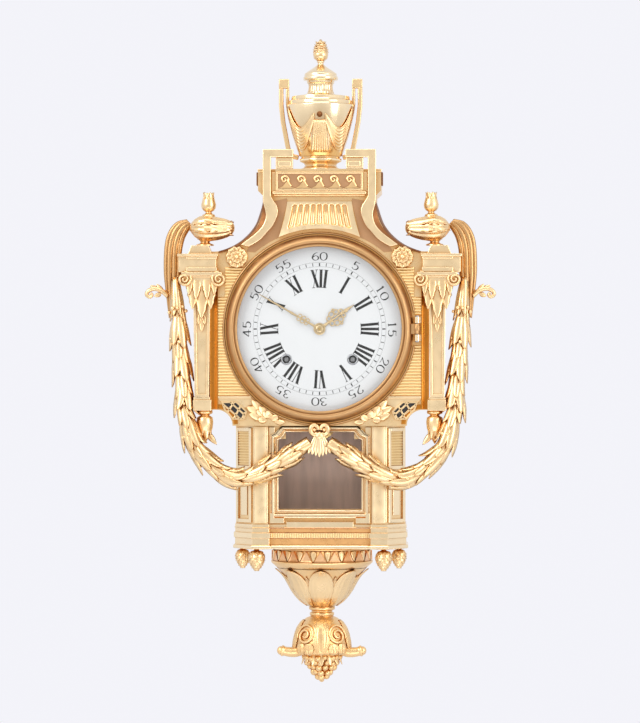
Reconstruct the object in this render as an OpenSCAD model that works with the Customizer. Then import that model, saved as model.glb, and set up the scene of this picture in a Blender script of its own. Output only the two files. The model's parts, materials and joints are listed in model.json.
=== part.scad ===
// Wall clock in a gilt case: urn crest, pilasters with lamps, laurel swags and a pendulum window.
// Modules draw in the front view: X to the right, Y up, Z out from the wall.
// in_wall_frame() then stands the drawing up, so that +Z is up and the wall is the plane Y = 0.

/* [Dial] */
// Radius of the enamel dial
dial_r = 105.5; // [100:0.5:110]
// Thickness of the enamel dial
dial_t = 1.8; // [1:0.1:2]
// Radius of the opening in the bezel, through which the dial shows
dial_view_r = 102.5; // [98:0.5:104]
// Width of the bezel ring beyond the edge of its glass
bezel_band = 11.2; // [8:0.1:14]
// Height of the bezel in front of the case
bezel_h = 13; // [11:0.1:16]
// Thickness of the glasses
glass_t = 2; // [1.5:0.1:2.5]
// Clearance between parts that only lie side by side
gap = 0.3; // [0.2:0.05:0.5]
// Radial clearance of a shaft in its hole
run_gap = 0.05; // [0.02:0.01:0.1]
// Sideways distance of a winding hole from the dial centre
wind_x = 41.5; // [40:0.5:43]
// Depth of a winding hole below the dial centre
wind_drop = 38; // [37:0.5:39]
// Radius of a winding hole
wind_hole_r = 5; // [4:0.5:6]

/* [Case] */
// Depth of the case from the wall to its front
case_d = 100; // [96:1:110]
// Thickness of the back plate
back_t = 3; // [2:0.5:4]
// Wall thickness of the castings
wall = 5; // [3:0.5:7]
// Half the width of the case beside the dial
body_hw = 137; // [134:1:142]
// Half the width of the neck
neck_hw = 71; // [68:1:76]
// Half the width of the ears at the top of the neck
ear_hw = 77; // [74:1:84]
// Height of the ears
ear_h = 23; // [16:1:30]
// Height of the neck's top above the dial centre
neck_top = 196; // [190:1:204]
// Radius of the hollow curve at each shoulder
shoulder_r = 60; // [52:1:62]
// Height of the shoulders above the dial centre
shoulder_top = 97; // [92:1:104]
// Depth of the case's lower edge below the dial centre
hip_drop = 101; // [98:1:106]
// Radius of the hollow curve at each hip
hip_r = 20; // [14:1:24]
// Radius of the hole that the clock hangs by
hang_r = 5; // [4:0.5:7]
// Height of that hole above the dial centre
hang_up = 168; // [150:1:180]
// Radius of the case and frame screws' shanks
screw_r = 2; // [1.5:0.25:2.5]

/* [Lower case] */
// Half the width of the pendulum box
box_hw = 107; // [100:1:114]
// Height of the pendulum box
box_h = 124; // [118:1:135]
// Depth of the box at its front blocks
box_d = 87; // [82:1:92]
// Depth of the box at its middle panel
panel_d = 80; // [74:1:81]
// Depth at which the canted corner starts
cant_d = 58; // [50:1:66]
// Half the width between the front blocks
block_in = 65; // [60:1:70]
// Half the width across the front blocks
block_out = 84; // [80:1:90]
// Half the width of the pendulum window
window_hw = 52; // [45:1:55]
// Height of the pendulum window
window_h = 97; // [80:1:100]
// Width of the frame round the window
frame_w = 11; // [8:0.5:12]
// Thickness of the frame round the window
frame_t = 6; // [4:0.5:7]

/* [Base] */
// Height of the base moulding
base_h = 35; // [28:1:40]
// Overhang of the base moulding
base_over = 3; // [2:0.5:5]
// Radius of the apron under the base
apron_r = 66; // [60:1:72]
// Height of the apron
apron_h = 24; // [18:1:28]
// Radius of the leaf bowl at its top
bowl_r = 58; // [50:1:60]
// Height of the leaf bowl
bowl_h = 46; // [40:1:52]
// Radius of the collar under the bowl
collar_r = 16; // [14:0.5:18]
// Height of the collar
collar_h = 11; // [8:0.5:14]
// Radius of the terminal at its foot
terminal_r = 37; // [32:1:40]
// Height of the terminal
terminal_h = 45; // [40:1:50]
// Length of the berry cluster
berry_h = 35; // [30:1:40]

/* [Crest] */
// Width of the flat bands that rise to the Greek keys
band_w = 9; // [7:0.5:11]
// Thickness of the flat bands
band_t = 9; // [6:0.5:12]
// Height of the Greek keys above the neck
key_h = 28; // [24:1:34]
// Reach of the Greek keys towards the middle
key_reach = 38; // [32:1:42]
// Thickness of the slab that carries the urn
slab_t = 4; // [3:0.5:6]
// Thickness of the frieze in front of the neck
frieze_t = 6; // [4:0.5:8]
// Height of the frieze
frieze_h = 28; // [24:1:32]
// Distance of the urn's axis from the wall
urn_d = 54; // [48:1:56]
// Largest radius of the urn
urn_r = 42; // [38:1:46]
// Height of the urn's body with its foot
urn_h = 94; // [88:1:100]
// Height of the urn's lid
lid_h = 42; // [38:1:46]
// Height of the cone on the lid
cone_h = 25; // [20:1:30]

/* [Pilasters] */
// Distance of the pilasters' middle from the side of the case
pil_off = 10; // [8:0.5:13]
// Width of the shaft at its top
pil_w = 21; // [18:0.5:23]
// Width of the shaft at its foot
pil_foot_w = 18; // [15:0.5:20]
// How far the pilasters stand in front of the case
pil_out = 9; // [7:0.5:12]
// Depth of the pilasters from front to back
pil_d = 30; // [24:1:36]
// Height of the lamps without their flames
lamp_h = 40; // [36:1:44]
// Radius of the lamps
lamp_r = 21; // [18:0.5:23]
// Radius of the garlands
garland_r = 10; // [8:0.5:10]

/* [Movement] */
// Half the width of the movement's plates
plate_hw = 73; // [72:0.5:75]
// Height of the plates above the dial centre
plate_up = 62; // [60:0.5:64]
// Depth of the plates below the dial centre
plate_down = 71; // [70:0.5:73]
// Thickness of the movement's plates
plate_t = 3; // [2.5:0.25:3]
// Distance between the movement's plates
plate_gap = 40; // [40:0.5:42]
// Thickness of the bars that hold the movement in the case
strap_t = 3; // [2:0.25:3.5]
// Radius of the arbors' pivots
pivot_r = 1.2; // [1:0.1:1.5]
// Radius of the spring barrels
barrel_r = 26; // [22:0.5:27]
// Length of the pendulum from its axis to the bob's middle
pendulum_l = 172; // [160:1:176]
// Radius of the pendulum bob
bob_r = 19; // [15:0.5:21]
// Radius of the bell
bell_r = 31; // [26:0.5:32]

/* [Hidden] */
$fn = 64;

// Colours
gilt = "goldenrod";
brass = "darkkhaki";
steel = "dimgray";
enamel = "white";
patina = "sienna";

// Heights of the main divisions, from the dial centre
body_bottom = -(hip_drop + hip_r);
box_bottom = body_bottom - box_h;
base_bottom = box_bottom - base_h;
apron_bottom = base_bottom - apron_h;
bowl_bottom = apron_bottom - bowl_h;
collar_bottom = bowl_bottom - collar_h;
terminal_bottom = collar_bottom - terminal_h;
slab_top = neck_top + slab_t;
box_step = 2;

// Dial and bezel
lip_t = 2.2;
glass_r = dial_r + gap;
bezel_r = glass_r + bezel_band;
bezel_back = case_d + gap;
glass_front = case_d + bezel_h - lip_t;
ring_r = bezel_r + 1.5;
hinge_x = bezel_r + 5;
hinge_d = case_d + 7;
knuckle_r = 4;
hinge_pin_r = 1.5;
knuckle_half = 6.7;
hinge_half = 15;

// Movement levels, as distances from the wall
strap_front = case_d - wall;
plate_front = strap_front - strap_t;
plate_inner = plate_front - plate_t;
rear_inner = plate_inner - plate_gap;
rear_back = rear_inner - plate_t;
dial_back = case_d - 0.8;
dial_front = dial_back + dial_t;

// Wheels: [teeth, module, thickness, level of the middle]
great = [84, 0.7, 3, plate_inner - 22.5];
great_pinion = [14, 0.7, 4, great[3]];
second = [60, 0.7, 2, plate_inner - 30];
centre_pinion = [10, 0.7, 3, second[3]];
centre = [72, 0.5, 2, plate_inner - 35];
third_pinion = [8, 0.5, 3, centre[3]];
third = [64, 0.45, 1.5, plate_inner - 10.2];
escape_pinion = [8, 0.45, 2.6, third[3]];
cannon = [15, 0.6, 2.4, plate_front + 1.8];
minute = [45, 0.6, 1.4, cannon[3]];
minute_pinion = [12, 0.6, 2.2, plate_front + 4.6];
hour = [48, 0.6, 1.4, minute_pinion[3]];
count_pinion = [8, 0.5, 2.4, rear_back - 3.2];
count = [90, 0.5, 1.5, count_pinion[3]];
escape_r = 11;
escape_teeth = 30;
escape_level = plate_inner - 20;
pin_wheel_r = 18;
pin_circle_r = 15.5;
strike_pins = 8;
arbor_r = 2;
winder_r = 4;
winder_square = 4.4;
cannon_pipe_r = 2.2;
hour_pipe_r = 3.6;

function pitch_r(g) = g[0] * g[1] / 2;
function spread(a, b) = pitch_r(a) + pitch_r(b);

// The point at distance ra from a and rb from b, on the side that turn (1 or -1) names
function meet(a, b, ra, rb, turn) =
    let (d = norm(b - a), along = (ra * ra - rb * rb + d * d) / (2 * d))
    let (off = sqrt(ra * ra - along * along), u = (b - a) / d)
    a + along * u + turn * off * [-u[1], u[0]];
function bearing(a, b) = atan2(b[1] - a[1], b[0] - a[0]);

// Places of the arbors in the front view
axis_centre = [0, 0];
axis_going = [wind_x, -wind_drop];
axis_strike = [-wind_x, -wind_drop];
axis_second = meet(axis_centre, axis_going, spread(second, centre_pinion), spread(great, great_pinion), 1);
axis_pins = meet(axis_centre, axis_strike, spread(second, centre_pinion), spread(great, great_pinion), -1);
axis_third = [0, spread(centre, third_pinion)];
axis_escape = axis_third + [0, spread(third, escape_pinion)];
axis_anchor = axis_escape + [0, escape_r + 4.8];
axis_minute = spread(cannon, minute) * [-1, 0];
axis_count = axis_pins + spread(count_pinion, count) * [cos(225), sin(225)];
axis_bell = [-43, 28];
axis_hammer = [-66, -6];

// Screws of the movement's bars and of the back plate
strap_heights = [plate_up - 12, -plate_down + 9];
strap_h = 12;
strap_half = 112;
strap_plate_x = plate_hw - 13;
strap_case_x = strap_half - 8;
screw_head_r = screw_r + 1.6;
screw_head_h = 1.6;
boss_r = 6;
boss_h = 22;
boss_inset = wall + 4;
back_screw_points = [
    [neck_hw - boss_inset, neck_top - boss_inset],
    [body_hw - boss_inset, shoulder_top - boss_inset],
    [body_hw - boss_inset, -hip_drop + boss_inset],
    [box_hw - boss_inset, box_bottom + boss_inset]
];

// Stands the front view up against the wall
module in_wall_frame() {
    rotate([90, 0, 0]) children();
}

// An outline in the front view, from one depth to another
module slab(from, to) {
    translate([0, 0, from]) linear_extrude(to - from) children();
}

// An outline in plan, [x, depth], from one height to another
module upright(from, to) {
    translate([0, to, 0]) rotate([90, 0, 0]) linear_extrude(to - from) children();
}

// A profile of [radius, height] points turned about a vertical axis
module turned_up(points, angle = 360) {
    rotate([90, 0, 0]) rotate_extrude(angle = angle) polygon([for (p = points) [p[0], -p[1]]]);
}

module both_sides() {
    children();
    mirror([1, 0, 0]) children();
}

module rod(at, from, to, r) {
    translate([at[0], at[1], from]) cylinder(r = r, h = to - from);
}

function arc(cx, cy, r, from, to, n = 12) =
    [for (i = [0 : n]) let (a = from + (to - from) * i / n) [cx + r * cos(a), cy + r * sin(a)]];
function flipped(points) = [for (i = [len(points) - 1 : -1 : 0]) [-points[i][0], points[i][1]]];
function both_halves(half) = concat(half, flipped(half));

// Right half of the case's outline, from the top down, drawn in from the edge by the inset
function case_half(inset) = concat(
    [
        [ear_hw - inset, neck_top - inset],
        [ear_hw - inset, neck_top - ear_h + inset],
        [neck_hw - inset, neck_top - ear_h - (ear_hw - neck_hw) + inset]
    ],
    arc(neck_hw + shoulder_r, shoulder_top + shoulder_r, shoulder_r + inset, 180, 270),
    [[body_hw - inset, shoulder_top - inset], [body_hw - inset, -hip_drop + inset]],
    arc(box_hw + box_step + hip_r, body_bottom, hip_r + inset, 90, 180)
);

// The lower case in plan, [x, depth], right half from the front to the wall
function box_half(inset) = [
    [block_in + inset, panel_d - inset],
    [block_in + inset, box_d - inset],
    [block_out - inset * 0.4, box_d - inset],
    [box_hw - inset, cant_d - inset * 0.4],
    [box_hw - inset, back_t]
];

module dial_circle_cut(r) {
    difference() {
        children();
        circle(r = r);
    }
}

// Holes for the screws of the back plate
module back_screw_holes(r, from, to) {
    both_sides() for (p = back_screw_points) rod(p, from, to, r);
}

module back_plate() {
    color(patina) difference() {
        union() {
            slab(0, back_t) polygon(both_halves(case_half(0)));
            slab(0, back_t) translate([-box_hw, box_bottom]) square([2 * box_hw, box_h + 1]);
        }
        rod([0, hang_up], -1, back_t + 1, hang_r);
        back_screw_holes(screw_r + run_gap, -1, back_t + 1);
        back_screw_holes(screw_head_r + gap, -1, screw_head_h);
    }
}

fret_x = 104;
fret_y = -hip_drop + 12;

// Slots that let the sound of the bell out below the ribs
module sound_slots() {
    for (dx = [-10, -3.5, 3]) {
        slab(case_d - wall - 1, case_d + 1) translate([fret_x + dx, fret_y - 4]) square([3.5, 13]);
    }
}

module case_body() {
    color(gilt) difference() {
        union() {
            difference() {
                slab(back_t, case_d) polygon(both_halves(case_half(0)));
                slab(back_t - 1, case_d - wall) union() {
                    polygon(both_halves(case_half(wall)));
                    translate([-box_hw + wall, body_bottom - 1]) square([2 * (box_hw - wall), hip_r]);
                }
            }
            both_sides() for (i = [0 : 2]) rod(back_screw_points[i], back_t, back_t + boss_h, boss_r);
        }
        rod([0, 0], case_d - wall - 1, case_d + 1, dial_r + gap);
        both_sides() sound_slots();
        back_screw_holes(screw_r + run_gap, back_t - 1, back_t + 12);
        both_sides() for (h = strap_heights) {
            rod([strap_case_x, h], strap_front - 1, case_d - 1.2, screw_r + run_gap);
        }
    }
}

window_top = body_bottom - 8;
window_bottom = window_top - window_h;
notch = 9;

// The window opening, with its upper corners notched; grow widens it all round
module window_outline(grow = 0) {
    difference() {
        translate([-window_hw - grow, window_bottom - grow])
            square([2 * (window_hw + grow), window_h + 2 * grow]);
        both_sides() translate([window_hw - notch + grow, window_top - notch + grow])
            square([notch + 1, notch + 1]);
    }
}

module lower_case() {
    color(gilt) difference() {
        union() {
            difference() {
                upright(box_bottom, body_bottom) polygon(both_halves(box_half(0)));
                upright(box_bottom - 1, body_bottom + 1) polygon(both_halves(concat(
                    [for (p = box_half(wall)) [p[0], max(p[1], back_t - 1)]],
                    [[box_hw - wall, back_t - 1]]
                )));
            }
            both_sides() rod(back_screw_points[3], back_t, back_t + boss_h, boss_r);
        }
        slab(panel_d - wall - 1, panel_d + 1) window_outline();
        back_screw_holes(screw_r + run_gap, back_t - 1, back_t + 12);
    }
}

module window_frame() {
    color(gilt) difference() {
        union() {
            slab(panel_d, panel_d + frame_t) intersection() {
                window_outline(frame_w);
                translate([-block_in + gap, box_bottom + gap])
                    square([2 * (block_in - gap), box_h - 2 * gap]);
            }
        }
        slab(panel_d - 1, panel_d + frame_t + 1) window_outline();
        slab(panel_d + frame_t - 2, panel_d + frame_t + 1) window_outline(frame_w * 0.4);
    }
}

module window_glass() {
    color("lightgray", 0.5)
        slab(panel_d - wall - glass_t, panel_d - wall)
            translate([-window_hw - 5, window_bottom - 5]) square([2 * window_hw + 10, window_h + 10]);
}

// The base stands forward of the lower case by base_over; plan as for the lower case, from the wall
function base_half(grow) = concat(
    [for (p = box_half(-grow)) [p[0], p[1]]],
    [[box_hw + grow, 0]]
);

module base_moulding() {
    top_band = 11;
    cove = 9;
    color(gilt) difference() {
        union() {
            upright(box_bottom - top_band, box_bottom) polygon(both_halves(base_half(base_over)));
            upright(box_bottom - top_band - cove, box_bottom - top_band)
                polygon(both_halves(base_half(base_over - 4)));
            upright(base_bottom, box_bottom - top_band - cove)
                polygon(both_halves(base_half(base_over - 1)));
        }
        upright(base_bottom + wall, box_bottom + 1)
            polygon(both_halves([for (p = base_half(-wall - 2)) [p[0], max(p[1], back_t + 1)]]));
    }
}

module base_apron() {
    color(gilt) difference() {
        turned_up([
            [0, base_bottom], [apron_r, base_bottom],
            [apron_r, base_bottom - 8], [apron_r - 3, base_bottom - 10],
            [apron_r - 4, apron_bottom + 6], [apron_r - 7, apron_bottom], [0, apron_bottom]
        ], 180);
        turned_up([
            [0, base_bottom - wall], [apron_r - 10, base_bottom - wall],
            [apron_r - 12, apron_bottom + wall], [0, apron_bottom + wall]
        ], 180);
    }
}

// Half bowl below the apron: [share of the radius, share of the height]
bowl_shape = [[1, 0], [1, 0.06], [0.93, 0.12], [0.77, 0.36], [0.57, 0.68], [0.4, 0.9], [0.36, 1]];

module base_bowl() {
    color(gilt) difference() {
        turned_up(concat(
            [[0, apron_bottom]],
            [for (s = bowl_shape) [bowl_r * s[0], apron_bottom - bowl_h * s[1]]],
            [[0, bowl_bottom]]
        ), 180);
        turned_up([
            [0, apron_bottom - wall], [bowl_r - 12, apron_bottom - wall],
            [bowl_r * 0.5 - 6, apron_bottom - bowl_h * 0.6], [0, apron_bottom - bowl_h * 0.7]
        ], 180);
    }
}

module terminal_scroll() {
    scroll_r = 6.5;
    scroll_x = terminal_r + 9.5;
    scroll_y = terminal_bottom + scroll_r;
    color(gilt) {
        turned_up([
            [0, bowl_bottom], [collar_r - 2, bowl_bottom], [collar_r, bowl_bottom - collar_h * 0.4],
            [collar_r - 3, collar_bottom], [collar_r, collar_bottom - 2],
            [terminal_r - 9, collar_bottom - 10], [terminal_r, collar_bottom - terminal_h * 0.55],
            [terminal_r - 1, terminal_bottom + 4], [terminal_r - 6, terminal_bottom], [0, terminal_bottom]
        ], 180);
        both_sides() {
            rod([scroll_x, scroll_y], 0, 22, scroll_r);
            slab(0, 16) polygon([
                [terminal_r - 12, scroll_y + 10], [terminal_r + 3, scroll_y + 8],
                [scroll_x, scroll_y], [terminal_r - 8, terminal_bottom + 1]
            ]);
        }
    }
}

module berry_cluster() {
    color(gilt) turned_up([
        [0, terminal_bottom], [26, terminal_bottom], [28, terminal_bottom - 4], [26, terminal_bottom - 9],
        [21, terminal_bottom - 11], [23, terminal_bottom - 15], [20, terminal_bottom - 20],
        [14, terminal_bottom - 22], [15, terminal_bottom - 26], [11, terminal_bottom - 31],
        [5, terminal_bottom - berry_h], [0, terminal_bottom - berry_h]
    ], 180);
}

// A pine cone that hangs from its top
module drop_cone(r, h) {
    turned_up([
        [0, 0], [r * 0.55, 0], [r * 0.95, -h * 0.25], [r, -h * 0.45], [r * 0.6, -h * 0.8], [1, -h], [0, -h]
    ]);
}

module corner_drops() {
    color(gilt) both_sides() {
        translate([block_out - 5, base_bottom, box_d - 11]) drop_cone(8, 24);
        translate([box_hw - 10, base_bottom, cant_d - 10]) drop_cone(7.5, 22);
    }
}

frieze_hw = neck_hw - band_w - 7;
flute_hw = frieze_hw - 3;

module frieze_block() {
    color(gilt) {
        upright(neck_top, slab_top) polygon([
            [-ear_hw, 0], [ear_hw, 0], [ear_hw, case_d],
            [frieze_hw, case_d], [frieze_hw, case_d + frieze_t],
            [-frieze_hw, case_d + frieze_t], [-frieze_hw, case_d], [-ear_hw, case_d]
        ]);
        slab(case_d, case_d + frieze_t) translate([-frieze_hw, neck_top - frieze_h])
            square([2 * frieze_hw, frieze_h]);
    }
}

// Panel of flutes between the key bands, cut below to the curve of the bezel
module fluted_panel() {
    flute_t = 4;
    pitch = 10.4;
    foot = 120;
    color(gilt) difference() {
        slab(case_d, case_d + flute_t) dial_circle_cut(ring_r + 2)
            translate([-flute_hw, 80]) square([2 * flute_hw, neck_top - frieze_h - gap - 80]);
        for (i = [-4 : 4]) {
            translate([i * pitch, foot, case_d + flute_t + 2]) rotate([-90, 0, 0])
                cylinder(r = 4.4, h = neck_top - frieze_h - foot - 9);
        }
    }
}

// Greek-key band of one side: a hook over the urn's shoulder, then a strap that sweeps out to the rosette
rosette_r = 14;
rosette_at = [103.5, 90];
module key_band() {
    x0 = neck_hw - 1 - band_w;
    x1 = neck_hw - 1;
    top = slab_top + key_h;
    color(gilt) {
        slab(case_d, case_d + band_t) {
            translate([x0, slab_top - 12]) square([band_w, key_h + 12]);
            translate([x1 - key_reach, top - 8]) square([key_reach, 8]);
            translate([x1 - key_reach, top - 24]) square([20, 14]);
            translate([x1 - key_reach, top - 12]) square([7, 6]);
        }
        difference() {
            slab(case_d, case_d + band_t) difference() {
                polygon(concat(
                    [[x1, slab_top - 10], [x1, slab_top - 34], [x1 - 2, 150]],
                    [[68, 142], [74, 128], [83, 115], [95, 106]],
                    [[rosette_at[0] - 6, rosette_at[1] + rosette_r]],
                    [[rosette_at[0] - rosette_r, rosette_at[1] + 5]],
                    [[82, 98], [69, 109], [58, 124], [52, 138]],
                    [[51, 148], [x0 - 5, slab_top - 38], [x0, slab_top - 30], [x0, slab_top - 10]]
                ));
                translate(rosette_at) circle(r = rosette_r + gap);
                circle(r = ring_r + 1);
                translate([-flute_hw - gap, 0]) square([2 * (flute_hw + gap), neck_top + 1]);
            }
        }
    }
}

module key_band_right() {
    key_band();
}

module key_band_left() {
    mirror([1, 0, 0]) key_band();
}

// Urn: outer profile as [radius, height above the slab]
urn_shape = [
    [25, 0], [25, 2], [15, 5], [15, 7], [22, 7], [24, 9], [24, 14], [20, 16], [27, 17], [30, 25],
    [35, 40], [39, 55], [41, 68], [urn_r, urn_h - 12], [urn_r, urn_h - 8], [36, urn_h - 7], [36, urn_h]
];

module urn_solid() {
    translate([0, slab_top, urn_d]) turned_up(concat([[0, 0]], urn_shape, [[0, urn_h]]));
}

module urn_body() {
    color(gilt) difference() {
        urn_solid();
        translate([0, slab_top, urn_d]) turned_up([
            [0, 22], [24, 24], [36, 62], [37, urn_h - 14], [30, urn_h - 6], [30, urn_h + 1], [0, urn_h + 1]
        ]);
    }
}

module urn_lid() {
    color(gilt) translate([0, slab_top + urn_h, urn_d]) turned_up([
        [0, -3], [29.5, -3], [29.5, 0], [34, 0], [33, 2], [17, 3], [15, 8], [14, 14], [14, 20], [21.5, 22],
        [21.5, 29], [19, 31], [13, 35], [7, 38], [5, 39], [6, lid_h - 1.5], [5, lid_h], [0, lid_h]
    ]);
}

module urn_cone() {
    color(gilt) translate([0, slab_top + urn_h + lid_h, urn_d]) turned_up([
        [0, 0], [5, 0], [9, 2], [10, 6], [9.5, 11], [7, 17], [3, cone_h - 1], [0, cone_h]
    ]);
}

module urn_handles() {
    handle_t = 9;
    color(gilt) difference() {
        both_sides() translate([0, slab_top, 0]) slab(urn_d - handle_t / 2, urn_d + handle_t / 2) {
            translate([39, urn_h + 12]) square([13, 8]);
            translate([39, urn_h - 9]) square([4.5, 24]);
            polygon([
                [47, urn_h + 14], [52, urn_h + 14], [52, 78], [41, 24],
                [33, 15], [28, 20], [36, 27], [47, 78]
            ]);
        }
        urn_solid();
    }
}

// Cloth cast over the front of the urn, with a tail that hangs in the middle
module urn_swag() {
    skin = 2.5;
    color(gilt) intersection() {
        difference() {
            translate([0, slab_top, urn_d]) turned_up(concat(
                [[0, 17]],
                [for (s = urn_shape) if (s[1] >= 17 && s[1] <= urn_h - 8) [s[0] + skin, s[1]]],
                [[0, urn_h - 8]]
            ));
            urn_solid();
        }
        slab(urn_d + 2, urn_d + 80) translate([0, slab_top]) polygon(both_halves([
            [8, 74], [20, 62], [33, 70], [40, 80], [44, 80], [43, 60], [30, 44], [16, 46], [9, 52],
            [10, 30], [7, 19]
        ]));
    }
}

// Panels of fine ribs either side of the dial
rib_t = 2.5;
module rib_panels() {
    color(gilt) difference() {
        slab(case_d, case_d + rib_t) both_sides() difference() {
            dial_circle_cut(ring_r) translate([40, -hip_drop + 18])
                square([body_hw - 10 - 40, hip_drop + 60]);
            translate(rosette_at) circle(r = rosette_r + 1);
            translate([40, -hip_drop]) square([40, hip_drop + 200]);
            translate([capital_in - 1, 40]) square([40, 80]);
        }
        slab(case_d - 1, case_d + rib_t + 1)
            translate([bezel_r, -hinge_half - 2]) square([40, 2 * hinge_half + 4]);
    }
}

module rosettes() {
    color(gilt) both_sides() translate([rosette_at[0], rosette_at[1], case_d]) rotate_extrude() polygon([
        [0, 0], [rosette_r, 0], [rosette_r, 3], [rosette_r - 2, 6], [6, 7], [5, 10], [0, 11]
    ]);
}

// Pilaster of the right side; the part of the drawing that lies in the case is cut away
pil_x = body_hw + pil_off;
capital_in = pil_x - 28;
capital_out = pil_x + 26;
capital_top = 71;
capital_bottom = 45;
plinth_top = 91;
step_top = 105;
shaft_foot = -85;
block_foot = -102;
pil_front = case_d + pil_out;
pil_back = pil_front - pil_d;

module case_side() {
    slab(-1, case_d) translate([0, body_bottom - 50]) square([body_hw, shoulder_top - body_bottom + 50]);
}

module pilaster() {
    color(gilt) {
        translate([capital_out - 3, capital_top - 5, case_d - 8]) cube([8, 4, 4]);
        difference() {
            union() {
                slab(pil_back, pil_front - 1) polygon([
                    [pil_x - pil_w / 2, capital_bottom], [pil_x + pil_w / 2, capital_bottom],
                    [pil_x + pil_foot_w / 2, shaft_foot], [pil_x - pil_foot_w / 2, shaft_foot]
                ]);
                slab(pil_back, pil_front + 2) polygon([
                    [pil_x - 13, capital_bottom], [pil_x + 11, capital_bottom],
                    [pil_x + 22, capital_top - 6], [pil_x - 22, capital_top - 6]
                ]);
                slab(pil_back, pil_front + 3) translate([capital_in, capital_top - 6])
                    square([capital_out - capital_in, 6]);
                for (x = [capital_in + 5, capital_out - 5]) {
                    rod([x, capital_top - 9], pil_back + 4, pil_front + 3, 6);
                }
                slab(pil_back - 8, pil_front + 1) translate([pil_x - 18, capital_top])
                    square([39, plinth_top - capital_top]);
                slab(pil_back - 3, pil_front - 3) translate([pil_x - 14, plinth_top]) square([31, 6]);
                slab(pil_back + 1, pil_front - 7) translate([pil_x - 9.5, plinth_top + 6])
                    square([21, step_top - plinth_top - 6]);
                slab(pil_back - 2, pil_front) translate([pil_x - 12, block_foot])
                    square([23, shaft_foot - block_foot]);
                translate([pil_x - 3, block_foot, pil_front - 13]) turned_up([
                    [0, 0], [10, 0], [8, -4], [5, -8], [8, -12], [9, -18],
                    [7, -26], [3, -33], [4, -38], [1, -43], [0, -43]
                ]);
            }
            case_side();
        }
    }
}

module pilaster_right() {
    pilaster();
}

module pilaster_left() {
    mirror([1, 0, 0]) pilaster();
}

// Oil lamp on the pilaster, its spout toward the middle of the clock
lamp_x = pil_x + 1;
lamp_d = pil_front - 20;
module lamp_solid() {
    translate([lamp_x, step_top, lamp_d]) turned_up([
        [0, 0], [9, 0], [9, 2], [5, 5], [5, 8], [10, 11], [lamp_r - 3, 16], [lamp_r, 24], [lamp_r - 1, 31],
        [lamp_r - 6, 36], [8, lamp_h - 1], [6, lamp_h], [5, lamp_h + 4], [8, lamp_h + 8], [7, lamp_h + 14],
        [3, lamp_h + 22], [1, lamp_h + 27], [0, lamp_h + 27]
    ]);
}

module lamp() {
    color(gilt) {
        lamp_solid();
        slab(lamp_d - 7, lamp_d + 7) translate([lamp_x, step_top]) polygon([
            [-lamp_r + 6, 15], [-lamp_r - 9, 21], [-lamp_r - 21, 33], [-lamp_r - 15, 37], [-lamp_r + 5, 33]
        ]);
    }
}

module lamp_right() {
    lamp();
}

module lamp_left() {
    mirror([1, 0, 0]) lamp();
}

// Cast cloth that hangs outside the lamp, with a tendril below it
module drapery() {
    cloth_d = lamp_d - 18;
    cloth_t = 10;
    x0 = lamp_x + lamp_r;
    color(gilt) difference() {
        slab(cloth_d, cloth_d + cloth_t) {
            polygon([
                [x0 - 8, 126], [x0 - 4, 133], [x0 + 9, 137], [x0 + 27, 128], [x0 + 28, 110], [x0 + 22, 88],
                [x0 + 24, 60], [x0 + 18, 25], [x0 + 9, 26], [x0 + 8, 60], [x0 + 5, 88], [x0 + 3, 112]
            ]);
            polygon([
                [x0 + 20, 78], [x0 + 30, 71], [x0 + 40, 71], [x0 + 50, 64],
                [x0 + 53, 52], [x0 + 50, 43], [x0 + 43, 41],
                [x0 + 38, 46], [x0 + 38, 52], [x0 + 43, 55], [x0 + 45, 50], [x0 + 48, 52], [x0 + 46, 59],
                [x0 + 39, 64], [x0 + 29, 63], [x0 + 18, 68]
            ]);
        }
        lamp_solid();
    }
}

module drapery_right() {
    drapery();
}

module drapery_left() {
    mirror([1, 0, 0]) drapery();
}

// Laurel garland of the right side: it hangs from the capital and rises to the bow
garland_d = case_d - 6;
front_d = box_d + garland_r + gap;
bow_y = window_top + 1;
garland_path = [
    [capital_out + 8, capital_top - 6, garland_d], [pil_x + 32, 38, garland_d], [pil_x + 30, 5, garland_d],
    [pil_x + 28, -26, garland_d], [pil_x + 25, -57, garland_d + 1], [pil_x + 22.4, -85, garland_d + 4],
    [pil_x + 21.8, -102, garland_d + 7], [pil_x + 17.5, -118, garland_d + 10],
    [pil_x + 14, -132, garland_d + 10], [pil_x + 8, -148, garland_d + 10],
    [pil_x - 5, -164, garland_d + 7], [box_hw + 19, -178, garland_d + 4],
    [box_hw + 4, -186, front_d], [block_out + 13.5, -187.5, front_d + 1],
    [block_in + 13.5, -182, front_d + 2], [block_in - 5.5, -172.5, front_d + 3],
    [40, -161, front_d + 5], [24, -150, front_d + 7], [11.5, bow_y - 13.5, front_d + 8]
];

// A point of the smooth curve through a list of points; t counts along the points
function through(p, t) =
    let (n = len(p) - 1, i = min(floor(t), n - 1), f = t - i)
    let (a = p[max(i - 1, 0)], b = p[i], c = p[i + 1], d = p[min(i + 2, n)])
    0.5 * (2 * b + (c - a) * f + (2 * a - 5 * b + 4 * c - d) * f * f + (3 * b - a - 3 * c + d) * f * f * f);

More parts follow.
